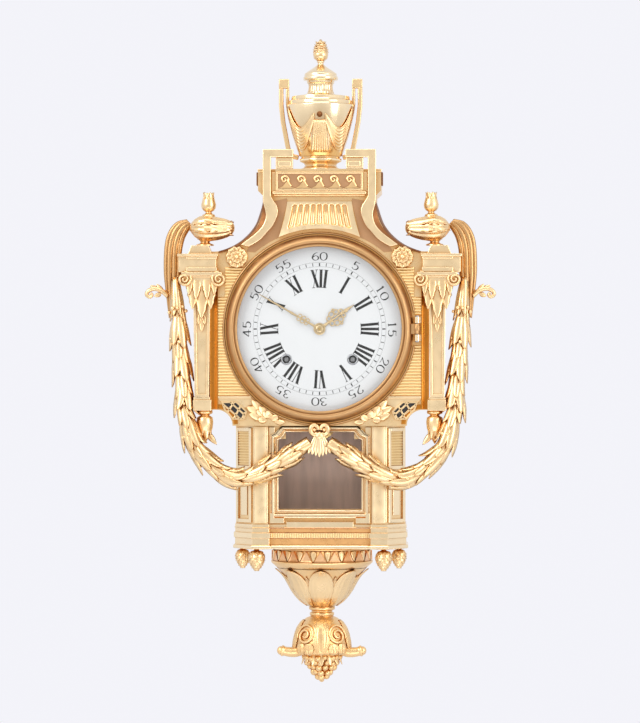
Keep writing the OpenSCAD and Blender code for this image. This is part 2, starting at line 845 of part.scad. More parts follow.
// A thick strand along a curve, swelling and waisting like bound leaves
module strand(path, r, steps, sides) {
    n = len(path) - 1;
    rings = [for (k = [0 : steps])
        let (t = n * k / steps, here = through(path, t))
        let (ahead = through(path, min(t + 0.05, n)), behind = through(path, max(t - 0.05, 0)))
        let (way = (ahead - behind) / norm(ahead - behind), side = cross(way, [0, 0, 1]))
        let (u = side / norm(side), v = cross(u, way))
        let (taper = min(1, 0.45 + 0.13 * min(k, steps - k)), swell = k % 2 == 0 ? 0.9 : 1)
        [for (j = [0 : sides - 1])
            let (a = 360 * j / sides)
            here + r * taper * swell * (cos(a) * u + sin(a) * v)]
    ];
    points = [for (ring = rings) each ring];
    walls = [for (k = [0 : steps - 1]) for (j = [0 : sides - 1])
        let (a = k * sides + j, b = k * sides + (j + 1) % sides)
        [a, b, b + sides, a + sides]];
    ends = [[for (j = [sides - 1 : -1 : 0]) j], [for (j = [0 : sides - 1]) steps * sides + j]];
    polyhedron(points, concat(walls, ends), convexity = 6);
}

module garland() {
    color(gilt) strand(garland_path, garland_r, 56, 10);
}

module garland_right() {
    garland();
}

module garland_left() {
    mirror([1, 0, 0]) garland();
}

// Ribbon bow where the two garlands meet
module garland_bow() {
    loop = [for (a = [0 : 15 : 345]) [6.5 + 6.5 * cos(a), bow_y + 4 + 4.3 * sin(a)]];
    hole = [for (a = [0 : 30 : 330]) [7.5 + 3.5 * cos(a), bow_y + 4 + 1.8 * sin(a)]];
    tail = [[5, bow_y], [8, bow_y - 14], [10.5, bow_y - 25], [5, bow_y - 28], [1, bow_y - 26]];
    color(gilt) {
        rod([0, bow_y], panel_d + frame_t, front_d + 14, 6.5);
        both_sides() slab(front_d + 3, front_d + 9) difference() {
            polygon(loop);
            polygon(hole);
        }
        slab(front_d + 4, front_d + 11) polygon(both_halves(tail));
    }
}

// Enamel dial with three feet that stand on the movement
dial_feet = [[-45, 30], [45, 30], [0, -50]];
module dial() {
    color(enamel) difference() {
        union() {
            rod([0, 0], dial_back, dial_front, dial_r);
            for (p = dial_feet) rod(p, plate_front, dial_back + 0.5, 1.5);
        }
        rod([0, 0], dial_back - 1, dial_front + 1, hour_pipe_r + 0.8);
        for (p = [axis_going, axis_strike]) rod(p, dial_back - 1, dial_front + 1, wind_hole_r);
    }
}

hand_t = 1;
hour_hand_d = dial_front + 1.2;
minute_hand_d = hour_hand_d + hand_t + 1.2;
hour_rest = 55;
minute_rest = 300;

module hour_hand() {
    color(gilt) rotate(-hour_rest) difference() {
        union() {
            slab(hour_hand_d, hour_hand_d + hand_t)
                polygon(both_halves([[0.8, 53], [1.2, 42], [4, 38], [7, 30], [2, 22], [2.5, 4.5]]));
            rod([0, 0], hour_hand_d, hour_hand_d + hand_t, 7.5);
        }
        rod([0, 0], hour_hand_d - 1, hour_hand_d + hand_t + 1, hour_pipe_r);
        rod([0, 30], hour_hand_d - 1, hour_hand_d + hand_t + 1, 2.6);
    }
}

module minute_hand() {
    color(gilt) rotate(-minute_rest) difference() {
        union() {
            slab(minute_hand_d, minute_hand_d + hand_t)
                polygon([[-1.8, 3], [1.8, 3], [1.5, 22], [4, 30], [1.6, 38], [1, 60], [0.6, 87], [-0.6, 87],
                    [-1, 60], [-1.6, 38], [-4, 30], [-1.5, 22]]);
            rod([0, 0], minute_hand_d, minute_hand_d + 2.4, 4.6);
        }
        rod([0, 0], minute_hand_d - 1, minute_hand_d + 1.6, cannon_pipe_r - 0.6);
        slab(minute_hand_d - 1, minute_hand_d + hand_t + 1) translate([0, 30]) circle(r = 1.6);
    }
}

module bezel() {
    color(gilt) difference() {
        union() {
            rotate_extrude($fn = 128) polygon([
                [glass_r + 0.2, bezel_back], [bezel_r - 1, bezel_back], [bezel_r, bezel_back + 1],
                [bezel_r, case_d + 4], [bezel_r - 2, case_d + 6], [bezel_r - 3.5, case_d + bezel_h - 4],
                [bezel_r - 6.5, case_d + bezel_h - 0.8], [dial_view_r + 2.5, case_d + bezel_h],
                [dial_view_r, case_d + bezel_h - 1.2], [dial_view_r, glass_front],
                [glass_r + 0.2, glass_front]
            ]);
            translate([bezel_r - 5, -knuckle_half, hinge_d - 2.5])
                cube([hinge_x - bezel_r + 5, 2 * knuckle_half, 5.5]);
            translate([hinge_x, knuckle_half, hinge_d]) rotate([90, 0, 0])
                cylinder(r = knuckle_r, h = 2 * knuckle_half);
        }
        translate([hinge_x, knuckle_half + 1, hinge_d]) rotate([90, 0, 0])
            cylinder(r = hinge_pin_r + run_gap, h = 2 * knuckle_half + 2);
    }
}

module bezel_glass() {
    color("lightgray", 0.5) rod([0, 0], glass_front - glass_t, glass_front, glass_r);
}

module hinge_bracket() {
    leaf = hinge_half - knuckle_half - 0.6;
    color(gilt) difference() {
        for (y = [knuckle_half + 0.6, -hinge_half]) {
            translate([hinge_x, y + leaf, hinge_d]) rotate([90, 0, 0]) cylinder(r = knuckle_r, h = leaf);
            translate([hinge_x - 3, y, case_d]) cube([8, leaf, hinge_d - case_d]);
        }
        translate([hinge_x, hinge_half + 1, hinge_d]) rotate([90, 0, 0])
            cylinder(r = hinge_pin_r, h = 2 * hinge_half + 2);
    }
}

module hinge_pin() {
    color(steel) translate([hinge_x, 0, hinge_d]) rotate([90, 0, 0]) {
        translate([0, 0, -hinge_half]) cylinder(r = hinge_pin_r, h = 2 * hinge_half);
        translate([0, 0, hinge_half]) cylinder(r = hinge_pin_r + 1.2, h = 1.5);
        translate([0, 0, -hinge_half - 1.5]) cylinder(r = hinge_pin_r + 1.2, h = 1.5);
    }
}

// Points of a toothed wheel; a tooth stands on the bearing that turn names
function teeth(g, pinion) =
    let (p = 360 / g[0], tip = pitch_r(g) + (pinion ? 0.6 : 0.85) * g[1])
    let (root = pitch_r(g) - (pinion ? 1.3 : 1.25) * g[1])
    let (wide = (pinion ? 0.4 : 0.62) * p / 2, thin = 0.1 * p)
    [for (i = [0 : g[0] - 1]) each [
        [root * cos(i * p - wide), root * sin(i * p - wide)],
        [tip * cos(i * p - thin), tip * sin(i * p - thin)],
        [tip * cos(i * p + thin), tip * sin(i * p + thin)],
        [root * cos(i * p + wide), root * sin(i * p + wide)]
    ]];

module wheel(g, turn, pinion = false) {
    slab(g[3] - g[2] / 2, g[3] + g[2] / 2) rotate(turn) polygon(teeth(g, pinion));
}

// Bearing of a pinion that puts a gap between its teeth toward the partner
function gap_toward(g, bearing) = bearing + 180 / g[0];

// Arbor between the plates with a thin pivot in each
module arbor(r) {
    rod([0, 0], rear_inner + gap, plate_inner - gap, r);
    rod([0, 0], rear_back, plate_front, pivot_r);
}

module train_plate(from, to) {
    corner = 8;
    slab(from, to) difference() {
        translate([-plate_hw, -plate_down]) square([2 * plate_hw, plate_up + plate_down]);
        both_sides() for (y = [plate_up, -plate_down]) {
            translate([plate_hw, y]) rotate(45) square(corner, center = true);
        }
    }
}

pivots = [axis_centre, axis_second, axis_pins, axis_third, axis_escape, axis_anchor, axis_hammer];

module front_plate() {
    color(brass) {
        difference() {
            train_plate(plate_inner, plate_front);
            for (p = pivots) rod(p, plate_inner - 1, plate_front + 1, pivot_r + run_gap);
            rod(axis_centre, plate_inner - 1, plate_front + 1, 1.5 + run_gap);
            for (p = [axis_going, axis_strike]) {
                rod(p, plate_inner - 1, plate_front + 1, winder_r + run_gap);
            }
            both_sides() for (h = strap_heights) {
                rod([strap_plate_x, h], plate_inner - 1, plate_front + 1, screw_r + run_gap);
            }
        }
        rod(axis_minute, plate_front, minute_pinion[3] + minute_pinion[2] / 2 + 0.6, 1.5);
    }
}

module rear_plate() {
    color(brass) {
        difference() {
            train_plate(rear_back, rear_inner);
            for (p = pivots) rod(p, rear_back - 1, rear_inner + 1, pivot_r + run_gap);
            for (p = [axis_anchor, axis_pins, axis_hammer]) {
                rod(p, rear_back - 1, rear_inner + 1, arbor_r + run_gap);
            }
            for (p = [axis_going, axis_strike]) {
                rod(p, rear_back - 1, rear_inner + 1, pivot_r + 1 + run_gap);
            }
        }
        rod(axis_count, count[3] - 1.2, rear_back, 1.5);
    }
}

module plate_pillars() {
    color(brass) both_sides() for (y = [plate_up - 7, -plate_down + 7]) {
        rod([plate_hw - 7, y], rear_inner, plate_inner, 4);
    }
}

module movement_straps() {
    color(brass) difference() {
        slab(plate_front, strap_front) for (h = strap_heights) {
            translate([-strap_half, h - strap_h / 2]) square([2 * strap_half, strap_h]);
        }
        both_sides() for (h = strap_heights) for (x = [strap_plate_x, strap_case_x]) {
            rod([x, h], plate_front - 1, strap_front + 1, screw_r + run_gap);
        }
    }
}

module fixing_screws() {
    color(steel) both_sides() {
        for (h = strap_heights) {
            rod([strap_plate_x, h], strap_front, strap_front + screw_head_h, screw_head_r);
            rod([strap_plate_x, h], plate_inner + 0.2, strap_front + 0.5, screw_r);
            rod([strap_case_x, h], plate_front - screw_head_h, plate_front, screw_head_r);
            rod([strap_case_x, h], plate_front - 0.5, case_d - 2, screw_r);
        }
        for (p = back_screw_points) {
            rod(p, 0.1, screw_head_h, screw_head_r);
            rod(p, screw_head_h - 0.5, back_t + 10, screw_r);
        }
    }
}

// Spring barrel with its great wheel; its drum turns on the winding arbor
module barrel(at, turn) {
    drum_top = plate_inner - 3;
    drum_foot = great[3] + great[2] / 2;
    color(brass) difference() {
        translate([at[0], at[1], 0]) {
            wheel(great, turn);
            rod([0, 0], drum_foot - 0.5, drum_top, barrel_r);
        }
        rod(at, drum_foot, drum_top - 2, barrel_r - 2);
        rod(at, rear_inner, plate_inner, winder_r + run_gap);
    }
}

module winding_arbor(at) {
    square_top = dial_back - 0.8;
    color(steel) translate([at[0], at[1], 0]) {
        rod([0, 0], rear_inner + gap, plate_front + gap, winder_r);
        rod([0, 0], rear_back, rear_inner + 1, pivot_r + 1);
        slab(plate_front + gap, plate_front + gap + 1.5) polygon([for (i = [0 : 19]) each [
            [7.4 * cos(i * 18), 7.4 * sin(i * 18)], [9 * cos(i * 18 + 3), 9 * sin(i * 18 + 3)]
        ]]);
        slab(plate_front + gap, square_top) square(winder_square, center = true);
    }
}

module going_barrel() {
    barrel(axis_going, bearing(axis_going, axis_second));
}

module going_arbor() {
    winding_arbor(axis_going);
}

module strike_barrel() {
    barrel(axis_strike, bearing(axis_strike, axis_pins));
}

module strike_arbor() {
    winding_arbor(axis_strike);
}

module centre_wheel() {
    to_second = bearing(axis_centre, axis_second);
    color(brass) {
        rod([0, 0], rear_inner + gap, plate_inner - gap, arbor_r);
        rod([0, 0], rear_back, rear_inner + 1, pivot_r);
        rod([0, 0], plate_inner - 1, cannon[3], 1.5);
        wheel(centre_pinion, gap_toward(centre_pinion, to_second), true);
        wheel(centre, bearing(axis_centre, axis_third));
        wheel(cannon, gap_toward(cannon, bearing(axis_centre, axis_minute)), true);
        rod([0, 0], cannon[3], minute_hand_d, cannon_pipe_r);
        rod([0, 0], minute_hand_d - 1, minute_hand_d + 1.5, cannon_pipe_r - 0.6);
    }
}

module intermediate_wheel() {
    color(brass) translate([axis_second[0], axis_second[1], 0]) {
        arbor(arbor_r);
        wheel(great_pinion, gap_toward(great_pinion, bearing(axis_second, axis_going)), true);
        wheel(second, bearing(axis_second, axis_centre));
    }
}

// Arbor whose thin pinion is turned down to the bottom of its own teeth
module cut_arbor(pinion) {
    difference() {
        arbor(arbor_r);
        slab(pinion[3] - pinion[2] / 2, pinion[3] + pinion[2] / 2) difference() {
            circle(r = arbor_r + 1);
            circle(r = pitch_r(pinion) - 1.3 * pinion[1]);
        }
    }
}

module third_wheel() {
    color(brass) translate([axis_third[0], axis_third[1], 0]) {
        cut_arbor(third_pinion);
        wheel(third_pinion, gap_toward(third_pinion, bearing(axis_third, axis_centre)), true);
        wheel(third, bearing(axis_third, axis_escape));
    }
}

module escape_wheel() {
    root = escape_r - 2.2;
    color(brass) translate([axis_escape[0], axis_escape[1], 0]) {
        cut_arbor(escape_pinion);
        wheel(escape_pinion, gap_toward(escape_pinion, bearing(axis_escape, axis_third)), true);
        slab(escape_level - 0.75, escape_level + 0.75) polygon([for (i = [0 : escape_teeth - 1]) each [
            [root * cos(i * 12), root * sin(i * 12)],
            [escape_r * cos(i * 12 + 5), escape_r * sin(i * 12 + 5)],
            [root * cos(i * 12 + 7), root * sin(i * 12 + 7)]
        ]]);
    }
}

// Pallets that rock over the escape wheel, with the crutch that reaches down to the pendulum
rod_r = 1.5;
rod_d = rear_back - 13;
crutch_l = 46;
module pallet_anchor() {
    clear = escape_r + 1;
    drop = axis_anchor[1] - axis_escape[1];
    crutch_front = rear_back - 5.5;
    color(steel) translate([axis_anchor[0], axis_anchor[1], 0]) {
        rod([0, 0], rear_inner + gap, plate_inner - gap, arbor_r);
        rod([0, 0], plate_inner - 1, plate_front, pivot_r);
        rod([0, 0], crutch_front - 2, rear_inner + 1, arbor_r);
        slab(escape_level - 1.2, escape_level + 1.2) difference() {
            polygon([[0, 3.5], [-13, -6], [-11, -9.5], [-4, -3], [4, -3], [11, -9.5], [13, -6]]);
            translate([0, -drop]) circle(r = clear);
        }
        rod([0, 0], crutch_front - 2, crutch_front, 4);
        slab(crutch_front - 2, crutch_front) translate([-2, -crutch_l]) square([4, crutch_l]);
        both_sides() slab(rod_d - 2, crutch_front) translate([rod_r + gap, -crutch_l - 4]) square([1.6, 7]);
        slab(crutch_front - 2, crutch_front) translate([-rod_r - gap - 1.6, -crutch_l - 2])
            square([2 * (rod_r + gap + 1.6), 5]);
    }
}

module minute_wheel() {
    color(brass) translate([axis_minute[0], axis_minute[1], 0]) difference() {
        union() {
            wheel(minute, bearing(axis_minute, axis_centre));
            wheel(minute_pinion, gap_toward(minute_pinion, bearing(axis_minute, axis_centre)), true);
            rod([0, 0], minute[3] - minute[2] / 2, minute_pinion[3], 2.6);
        }
        rod([0, 0], plate_front, case_d, 1.5 + run_gap);
    }
}

module hour_wheel() {
    color(brass) difference() {
        union() {
            wheel(hour, bearing(axis_centre, axis_minute));
            rod([0, 0], hour[3], hour_hand_d + hand_t, hour_pipe_r);
        }
        rod([0, 0], plate_front, hour_hand_d + hand_t + 1, cannon_pipe_r + run_gap);
    }
}

module pin_wheel() {
    color(brass) translate([axis_pins[0], axis_pins[1], 0]) {
        rod([0, 0], count[3] + count_pinion[2] / 2, plate_inner - gap, arbor_r);
        rod([0, 0], plate_inner - 1, plate_front, pivot_r);
        wheel(great_pinion, gap_toward(great_pinion, bearing(axis_pins, axis_strike)), true);
        wheel(count_pinion, gap_toward(count_pinion, bearing(axis_pins, axis_count)), true);
        rod([0, 0], second[3] - 1, second[3] + 1, pin_wheel_r);
        for (i = [0 : strike_pins - 1]) {
            rotate(360 * (i + 0.5) / strike_pins) rod([pin_circle_r, 0], second[3], second[3] + 5, 0.8);
        }
    }
}

module count_wheel() {
    color(brass) translate([axis_count[0], axis_count[1], 0]) difference() {
        wheel(count, bearing(axis_count, axis_pins));
        rod([0, 0], count[3] - 5, count[3] + 5, 1.5 + run_gap);
    }
}

bell_stand = 8;
bell_crown = rear_back - bell_stand;
module hammer() {
    head = axis_bell + (bell_r + 5.8) * [-0.957, -0.291];
    arm_d = bell_crown - 23;
    way = head - axis_hammer;
    side = [-way[1], way[0]] / norm(way) * 1.6;
    tail_end = [axis_pins[0] - pin_circle_r - 1.6, axis_pins[1] + 1];
    color(steel) {
        rod(axis_hammer, arm_d - 3, plate_inner - gap, arbor_r);
        rod(axis_hammer, plate_inner - 1, plate_front, pivot_r);
        slab(arm_d, arm_d + 3) polygon([axis_hammer + side, axis_hammer - side, head - side, head + side]);
        rod(axis_hammer, arm_d - 1, arm_d + 4, 4);
        rod(head, arm_d - 3, arm_d + 7, 5);
        slab(second[3] + 2, second[3] + 4) polygon([
            axis_hammer + [0, 2], axis_hammer - [0, 2], tail_end - [0, 1.5], tail_end + [0, 1.5]
        ]);
    }
}

module bell() {
    color(brass) translate([axis_bell[0], axis_bell[1], bell_crown]) {
        rotate_extrude() polygon([
            [0, 0], [9, -0.5], [bell_r - 9, -4], [bell_r - 3, -11],
            [bell_r - 1, -18], [bell_r, -24], [bell_r - 2, -24],
            [bell_r - 3, -18], [bell_r - 5, -11.5], [bell_r - 11, -6], [8, -2.4], [0, -2]
        ]);
        rod([0, 0], -1, bell_stand, 3);
    }
}

module pendulum() {
    color(brass) translate([axis_anchor[0], axis_anchor[1], 0]) difference() {
        union() {
            rod([0, 0], rod_d - 2, rod_d + 2, 4);
            translate([0, -3, rod_d]) rotate([90, 0, 0]) cylinder(r = rod_r, h = pendulum_l - bob_r);
            translate([0, -pendulum_l - bob_r + 3, rod_d]) rotate([90, 0, 0]) cylinder(r = rod_r, h = 9);
            translate([0, -pendulum_l, rod_d]) rotate_extrude() polygon([
                [0, -4], [bob_r - 6, -4], [bob_r, -2.2], [bob_r, 2.2], [bob_r - 6, 4], [0, 4]
            ]);
            translate([0, -pendulum_l - bob_r - 1, rod_d]) rotate([90, 0, 0]) cylinder(r = 4, h = 3);
        }
        rod([0, 0], rod_d - 3, rod_d + 3, 1.5 + run_gap);
    }
}

module suspension_cock() {
    foot = axis_anchor[1] + 5;
    front = rod_d - 2.5;
    color(brass) {
        slab(front - 3, rear_back) translate([-9, foot]) square([18, 5]);
        slab(front - 3, front) translate([-6, axis_anchor[1] - 4]) square([12, 9]);
        rod(axis_anchor, front - 3, rod_d + 3.5, 1.5);
    }
}

in_wall_frame() back_plate();
in_wall_frame() case_body();
in_wall_frame() lower_case();
in_wall_frame() window_frame();
in_wall_frame() window_glass();
in_wall_frame() base_moulding();
in_wall_frame() base_apron();
in_wall_frame() base_bowl();
in_wall_frame() terminal_scroll();
in_wall_frame() berry_cluster();
in_wall_frame() corner_drops();
in_wall_frame() frieze_block();
in_wall_frame() fluted_panel();
in_wall_frame() key_band_left();
in_wall_frame() key_band_right();
in_wall_frame() urn_body();
in_wall_frame() urn_lid();
in_wall_frame() urn_cone();
in_wall_frame() urn_handles();
in_wall_frame() urn_swag();
in_wall_frame() rib_panels();
in_wall_frame() rosettes();
in_wall_frame() pilaster_left();
in_wall_frame() pilaster_right();
in_wall_frame() lamp_left();
in_wall_frame() lamp_right();
in_wall_frame() drapery_left();
in_wall_frame() drapery_right();
in_wall_frame() garland_left();
in_wall_frame() garland_right();
in_wall_frame() garland_bow();
in_wall_frame() dial();
in_wall_frame() hour_hand();
in_wall_frame() minute_hand();
in_wall_frame() bezel();
in_wall_frame() bezel_glass();
in_wall_frame() hinge_bracket();
in_wall_frame() hinge_pin();
in_wall_frame() front_plate();
in_wall_frame() rear_plate();
in_wall_frame() plate_pillars();
in_wall_frame() movement_straps();
in_wall_frame() fixing_screws();
in_wall_frame() going_barrel();
in_wall_frame() going_arbor();
in_wall_frame() strike_barrel();
in_wall_frame() strike_arbor();
in_wall_frame() centre_wheel();
in_wall_frame() intermediate_wheel();
in_wall_frame() third_wheel();
in_wall_frame() escape_wheel();
in_wall_frame() pallet_anchor();
in_wall_frame() minute_wheel();
in_wall_frame() hour_wheel();
in_wall_frame() pin_wheel();
in_wall_frame() count_wheel();
in_wall_frame() hammer();
in_wall_frame() bell();
in_wall_frame() pendulum();
in_wall_frame() suspension_cock();
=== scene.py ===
"""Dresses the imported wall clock: gilt bronze case, enamel dial, garlands and a plain studio."""
import json
import math
import random

import bmesh
import bpy
from mathutils import Matrix, Vector


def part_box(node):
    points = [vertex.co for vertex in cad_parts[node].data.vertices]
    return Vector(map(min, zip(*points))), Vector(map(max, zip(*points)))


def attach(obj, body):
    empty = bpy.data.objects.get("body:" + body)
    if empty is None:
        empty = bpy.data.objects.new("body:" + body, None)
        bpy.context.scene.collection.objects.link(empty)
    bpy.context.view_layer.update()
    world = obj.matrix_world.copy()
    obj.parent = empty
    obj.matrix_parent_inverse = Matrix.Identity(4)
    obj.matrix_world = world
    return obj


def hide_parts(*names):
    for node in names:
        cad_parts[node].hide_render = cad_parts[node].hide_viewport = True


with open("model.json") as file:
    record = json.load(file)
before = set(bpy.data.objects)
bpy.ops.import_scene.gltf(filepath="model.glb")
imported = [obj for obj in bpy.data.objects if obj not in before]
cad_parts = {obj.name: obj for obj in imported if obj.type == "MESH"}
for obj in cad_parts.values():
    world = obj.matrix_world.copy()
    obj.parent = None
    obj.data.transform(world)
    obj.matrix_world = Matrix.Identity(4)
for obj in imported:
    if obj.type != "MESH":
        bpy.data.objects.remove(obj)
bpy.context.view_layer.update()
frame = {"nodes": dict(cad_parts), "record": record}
nodes = frame["nodes"]

MM = 0.001
FULL_TURN = 2 * math.pi
FRONT = Vector((0, -1, 0))
SIDES = ((1, "right"), (-1, "left"))


def spot(x, y, out):
    """A point of the front view in millimetres, x right, y up and out from the wall, in the row frame."""
    return Vector((x * MM, -out * MM, y * MM))


def span(node):
    """Front-view limits of a CAD node in millimetres: x0, x1, y0, y1, out0, out1."""
    low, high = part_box(node)
    return (low[0] / MM, high[0] / MM, low[2] / MM, high[2] / MM, -high[1] / MM, -low[1] / MM)


# Levels that the pieces share, read from the frame
CASE_FRONT = span("case_body")[5]
DIAL_FACE = span("dial")[5]
SLAB_TOP = span("frieze_block")[3]
PANEL_FRONT = span("window_frame")[4]
BOX_FRONT = span("lower_case")[5]


# Materials
def feed(tree, node, values):
    """Sets inputs of a node, or links them when the value is a socket; _ in a name stands for a space."""
    for name, value in values.items():
        entry = node.inputs[name.replace("_", " ")]
        if isinstance(value, bpy.types.NodeSocket):
            tree.links.new(value, entry)
        else:
            entry.default_value = value


def new_node(tree, kind, **values):
    node = tree.nodes.new("ShaderNode" + kind)
    feed(tree, node, values)
    return node


def new_material(name, **values):
    """A material, its node tree and its shader, with some of the shader's inputs set."""
    material = bpy.data.materials.new(name)
    material.use_nodes = True
    shader = material.node_tree.nodes["Principled BSDF"]
    feed(material.node_tree, shader, values)
    return material, material.node_tree, shader


def noise(tree, scale, detail=4.0, rough=0.55, stretch=None):
    """A cloudy value fixed to the object."""
    place = new_node(tree, "TexCoord").outputs["Object"]
    if stretch:
        place = new_node(tree, "Mapping", Scale=stretch, Vector=place).outputs["Vector"]
    node = new_node(tree, "TexNoise", Scale=scale, Detail=detail, Roughness=rough, Vector=place)
    return node.outputs["Fac"]


def ramp(tree, value, low, high):
    """The colours between two stops (place, colour) along a value."""
    node = new_node(tree, "ValToRGB", Fac=value)
    for stop, (place, colour) in zip(node.color_ramp.elements, (low, high)):
        stop.position = place
        stop.color = (*colour, 1.0)
    return node.outputs["Color"]


def blend(tree, factor, first, second):
    """A mix of two colours, each a plain colour or a socket."""
    node = new_node(tree, "Mix")
    node.data_type = "RGBA"
    tree.links.new(factor, node.inputs["Factor"])
    for entry, value in ((6, first), (7, second)):
        if isinstance(value, tuple):
            node.inputs[entry].default_value = (*value, 1.0)
        else:
            tree.links.new(value, node.inputs[entry])
    return node.outputs[2]


def combine(tree, operation, *values):
    """One arithmetic step on sockets, kept between 0 and 1."""
    node = new_node(tree, "Math")
    node.operation = operation
    node.use_clamp = True
    for entry, value in zip(node.inputs, values):
        tree.links.new(value, entry)
    return node.outputs["Value"]


def bump(tree, height, strength, distance):
    return new_node(tree, "Bump", Strength=strength, Distance=distance, Height=height).outputs["Normal"]


def grey(value):
    return (value, value, value)


def gilt_material(name, light, deep, rough_low, rough_high, recess=0.012, skin=0.06):
    """Gilded bronze with painted shade: its colour turns deeper and redder where ambient occlusion finds
    recesses, standing in for shade and gold-on-gold reflection; with cloudy burnish and a faint cast skin.
    """
    material, tree, shader = new_material(name, Metallic=1.0)
    tone = ramp(tree, noise(tree, 38.0), (0.3, light), (0.72, tuple(0.93 * c for c in light)))
    # painted shade: the ambient occlusion within recess mixes the colour from light toward deep
    shade = new_node(tree, "AmbientOcclusion", Distance=recess)
    shade.samples = 4
    depth = ramp(tree, shade.outputs["AO"], (0.3, grey(1.0)), (0.9, grey(0.0)))
    gloss = ramp(tree, noise(tree, 90.0), (0.35, grey(rough_low)), (0.7, grey(rough_high)))
    relief = bump(tree, noise(tree, 900.0, 2.0), skin, 0.0004)
    feed(tree, shader, {"Base Color": blend(tree, depth, tone, deep), "Roughness": gloss, "Normal": relief})
    return material


def cloudy_material(name, cloud, low, high, **values):
    """A plain surface whose colour drifts between two stops; cloud is the scale and detail of the drift."""
    material, tree, shader = new_material(name, **values)
    feed(tree, shader, {"Base Color": ramp(tree, noise(tree, *cloud), low, high)})
    return material, tree, shader


def enamel_material():
    """White enamel with a slow mottle and a hair of surface ripple."""
    material, tree, shader = cloudy_material("enamel_white", (14.0,), (0.3, (0.68, 0.685, 0.705)),
                                             (0.75, (0.66, 0.665, 0.685)), Roughness=0.14, Coat_Weight=0.4)
    feed(tree, shader, {"Normal": bump(tree, noise(tree, 25.0, 1.0), 0.05, 0.0005)})
    return material


def black_material():
    """Fired black paint that thins a little along the strokes; the same black also stands as painted shadow
    behind the frets and round the winding squares.
    """
    return cloudy_material("fired_black_and_painted_shadow", (260.0, 3.0), (0.4, (0.012, 0.012, 0.014)),
                           (0.8, (0.045, 0.043, 0.045)), Roughness=0.3)[0]


def patina_material():
    """Brown patinated plate with streaks; its faces toward the room are painted pale, painted light that
    brightens the plate seen in shade behind the pendulum window, and its faces toward the wall stay dark
    brown.
    """
    material, tree, shader = new_material("brown_patina", Metallic=0.35)
    streak = noise(tree, 1.6, 7.0, 0.5, stretch=(60.0, 60.0, 9.0))
    # painted light: the pale tone lights the faces toward the room, the dark tone is the patina on the wall
    # side
    pale = ramp(tree, streak, (0.3, (0.62, 0.45, 0.385)), (0.7, (0.90, 0.68, 0.585)))
    dark = ramp(tree, streak, (0.3, (0.13, 0.085, 0.055)), (0.7, (0.21, 0.145, 0.095)))
    facing = new_node(tree, "SeparateXYZ", Vector=new_node(tree, "NewGeometry").outputs["Normal"])
    wall_side = ramp(tree, facing.outputs["Y"], (0.2, grey(0.0)), (0.6, grey(1.0)))
    gloss = ramp(tree, streak, (0.3, grey(0.45)), (0.7, grey(0.65)))
    feed(tree, shader, {"Base Color": blend(tree, wall_side, pale, dark), "Roughness": gloss})
    return material


def steel_material():
    """Polished steel with a cloudy burnish."""
    cloud = (160.0,)
    material, tree, shader = cloudy_material("polished_steel", cloud, (0.3, (0.30, 0.31, 0.34)),
                                             (0.7, (0.42, 0.43, 0.46)), Metallic=1.0)
    feed(tree, shader, {"Roughness": ramp(tree, noise(tree, *cloud), (0.3, grey(0.22)), (0.7, grey(0.38)))})
    return material


def glass_material():
    """Thin clear glass: light goes straight through, and its outer faces reflect with a faint smear."""
    material, tree, shader = new_material("clear_glass")
    tree.nodes.remove(shader)
    through = new_node(tree, "BsdfTransparent", Color=(0.985, 0.99, 0.985, 1.0))
    gloss = ramp(tree, noise(tree, 30.0), (0.3, grey(0.02)), (0.8, grey(0.06)))
    shine = new_node(tree, "BsdfGlossy", Roughness=gloss)
    mirror = new_node(tree, "Fresnel", IOR=1.25).outputs["Fac"]
    inner = new_node(tree, "NewGeometry").outputs["Backfacing"]
    mix = new_node(tree, "MixShader", Fac=combine(tree, "SUBTRACT", mirror, inner))
    tree.links.new(through.outputs[0], mix.inputs[1])
    tree.links.new(shine.outputs[0], mix.inputs[2])
    feed(tree, tree.nodes["Material Output"], {"Surface": mix.outputs[0]})
    return material


# In each gilt the second colour is painted shade, mixed in where ambient occlusion finds recesses
GILT = gilt_material("gilt_matt", (0.93, 0.69, 0.39), (0.64, 0.31, 0.08), 0.24, 0.40)
BURNISHED = gilt_material("gilt_burnished", (0.96, 0.79, 0.53), (0.70, 0.37, 0.11), 0.12, 0.26, skin=0.02)
BRASS = gilt_material("movement_brass", (0.72, 0.52, 0.22), (0.40, 0.24, 0.07), 0.2, 0.36, recess=0.002)
BELL_METAL = gilt_material("bell_metal", (0.66, 0.46, 0.22), (0.36, 0.2, 0.07), 0.12, 0.25)
PALE_GILT = gilt_material("gilt_pale", (0.94, 0.74, 0.46), (0.68, 0.38, 0.14), 0.26, 0.42)
BEZEL_GILT = gilt_material("gilt_bezel", (0.56, 0.335, 0.155), (0.40, 0.18, 0.055), 0.36, 0.52, skin=0.02)
# painted shade: a dark brown copy of the gilt for the shoulder hollows and the urn's boss
HOLLOW_SHADE_GILT = gilt_material("gilt_hollow_shade", (0.29, 0.125, 0.050), (0.18, 0.07, 0.025), 0.42, 0.58)
TAN_GILT = gilt_material("gilt_tan", (0.60, 0.35, 0.19), (0.36, 0.18, 0.08), 0.34, 0.5)
RIB_GILT = gilt_material("gilt_ribs", (0.92, 0.68, 0.34), (0.52, 0.28, 0.09), 0.28, 0.42, recess=0.002)
COPPER = gilt_material("gilt_copper", (0.88, 0.50, 0.21), (0.58, 0.26, 0.07), 0.24, 0.38, skin=0.02)
